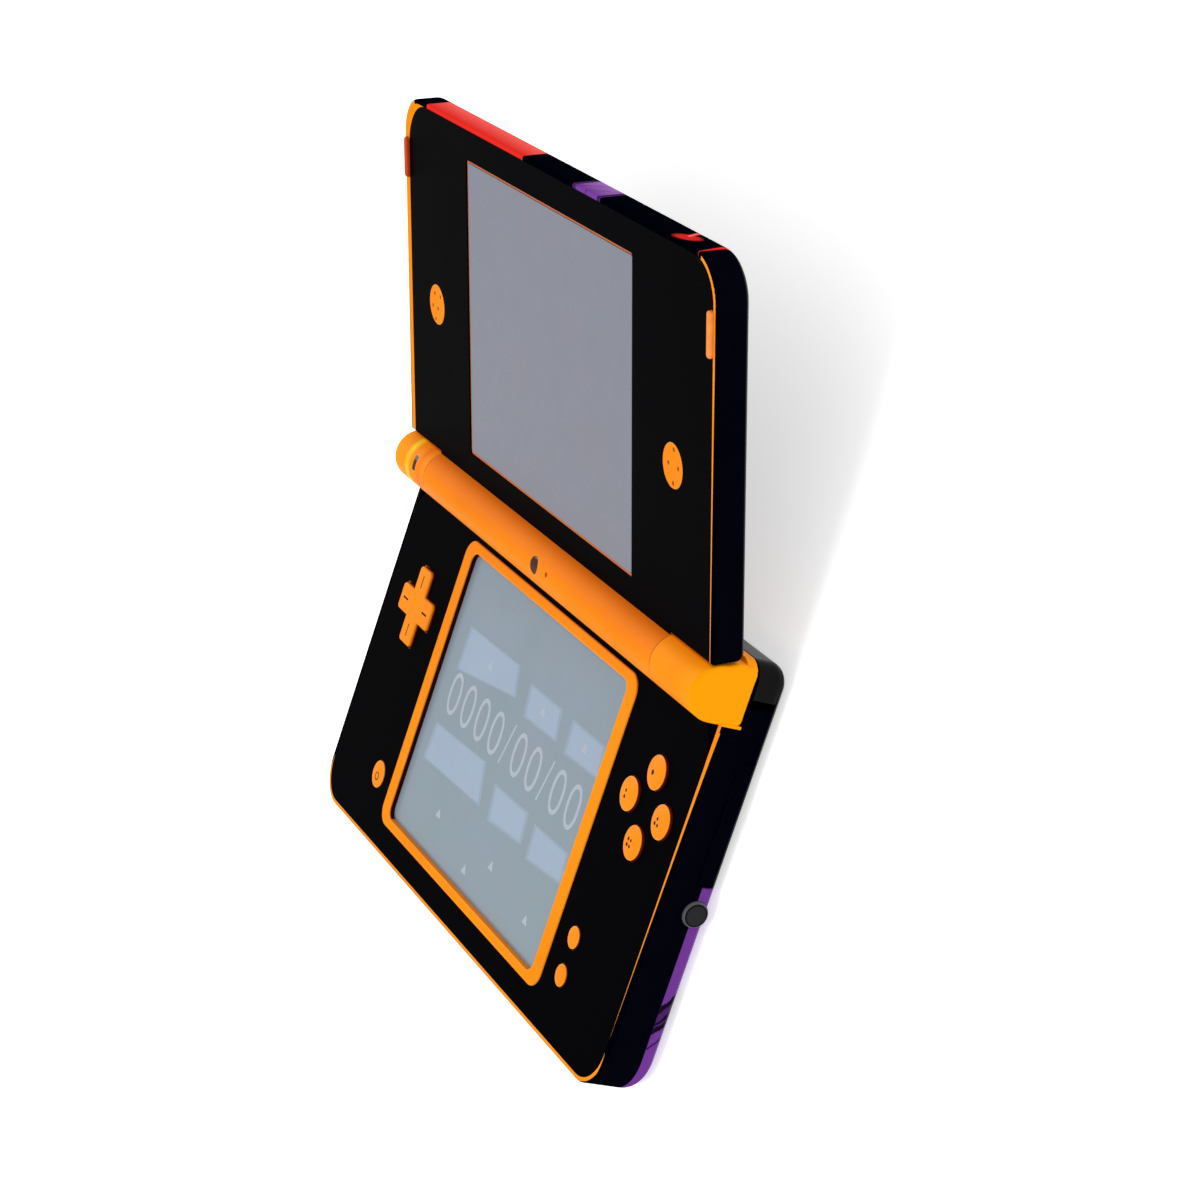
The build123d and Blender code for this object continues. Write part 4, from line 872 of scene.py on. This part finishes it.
def screen_counter(shade):
    """The counter across the touch screen, drawn as text and turned into a mesh."""
    curve = bpy.data.curves.new("screen_counter", "FONT")
    curve.body = "0000/00/00"
    curve.size = 14.4 * MM
    curve.extrude = 0.012 * MM
    curve.offset = -0.16 * MM
    curve.space_character = 1.12
    curve.align_x = "CENTER"
    curve.align_y = "CENTER"
    draft = bpy.data.objects.new("draft", curve)
    bpy.context.scene.collection.objects.link(draft)
    bpy.context.view_layer.update()
    graph = bpy.context.evaluated_depsgraph_get()
    mesh = bpy.data.meshes.new_from_object(draft.evaluated_get(graph))
    bpy.data.objects.remove(draft)
    spot = Vector((SCREEN_CENTRE.x + 1.6 * MM, SCREEN_CENTRE.y + 1.4 * MM, PANEL_HIGH.z + 0.014 * MM))
    mesh.transform(Matrix.Translation(spot))
    attach(bpy.data.objects.new("screen_counter", mesh), shade["digit"], "base")


# ---------------------------------------------------------------- stage

EYE_FROM_SCREEN = Vector((0.590262, 0.175851, 0.311936))
EYE_TURN = Euler([math.radians(angle) for angle in (21.8501, 59.6045, 38.1548)], "XYZ")
EYE_LENS = 97.61

# Brightness of the world: what it sheds on the part, and what the camera sees past the floor.
SKY_LIGHT, SKY_SEEN = 0.60, 1.10

# Disk lights: place in metres, with y counted from the base's middle, then diameter and power.
LIGHTS = {
    "key": ((0.1, -0.55, 1.1), 0.6, 7.0),
    "fill": ((0.9, 0.9, 0.6), 0.8, 3.0),
    "rim": ((-0.8, 0.2, 0.6), 0.6, 2.0),
}


def make_floor():
    graph = Graph("pale_floor")
    soft = graph.noise(6.0, 3.0, 0.5)
    base = graph.mix(soft, srgb(238, 238, 238), srgb(243, 243, 243))
    normal = graph.bump(graph.noise(300.0), 0.02, 0.001)
    graph.set(color=base, rough=0.85, normal=normal, specular=0.1, glow=base, glow_power=0.60)
    bpy.ops.mesh.primitive_grid_add(x_subdivisions=4, y_subdivisions=4, size=8)
    floor = bpy.context.active_object
    floor.name = "floor"
    dress(floor, graph.material)


def make_world():
    """Even white light, and a brighter white where the camera looks past the floor."""
    bpy.context.scene.view_settings.view_transform = "Standard"
    world = bpy.data.worlds.new("studio")
    bpy.context.scene.world = world
    world.use_nodes = True
    background = world.node_tree.nodes["Background"]
    background.inputs["Color"].default_value = (1.0, 1.0, 1.0, 1.0)
    rays = world.node_tree.nodes.new("ShaderNodeLightPath")
    backdrop = world.node_tree.nodes.new("ShaderNodeMapRange")
    backdrop.inputs["To Min"].default_value = SKY_LIGHT
    backdrop.inputs["To Max"].default_value = SKY_SEEN
    world.node_tree.links.new(rays.outputs["Is Camera Ray"], backdrop.inputs["Value"])
    world.node_tree.links.new(backdrop.outputs["Result"], background.inputs["Strength"])


def make_lights():
    target = Vector((0, BASE_Y + 0.03, 0))
    for name, ((x, y, z), size, power) in LIGHTS.items():
        data = bpy.data.lights.new(name, "AREA")
        data.shape = "DISK"
        data.size = size
        data.energy = power
        light = bpy.data.objects.new(name, data)
        bpy.context.scene.collection.objects.link(light)
        light.location = (x, BASE_Y + y, z)
        light.rotation_euler = (target - light.location).to_track_quat("-Z", "Y").to_euler()


def make_camera():
    """The camera stands at a fixed offset from the middle of the touch screen."""
    data = bpy.data.cameras.new("camera")
    data.lens = EYE_LENS
    data.sensor_width = 36.0
    data.clip_start = 0.01
    camera = bpy.data.objects.new("camera", data)
    bpy.context.scene.collection.objects.link(camera)
    screen = Vector((SCREEN_CENTRE.x, SCREEN_CENTRE.y, SKIN_HIGH.z))
    camera.location = screen + EYE_FROM_SCREEN
    camera.rotation_euler = EYE_TURN
    bpy.context.scene.camera = camera


materials = make_materials()
dress_nodes(materials)
key_marks(materials)
power_ring(materials)
screen_menu(materials)
screen_counter(materials)
make_floor()
make_world()
make_lights()
make_camera()
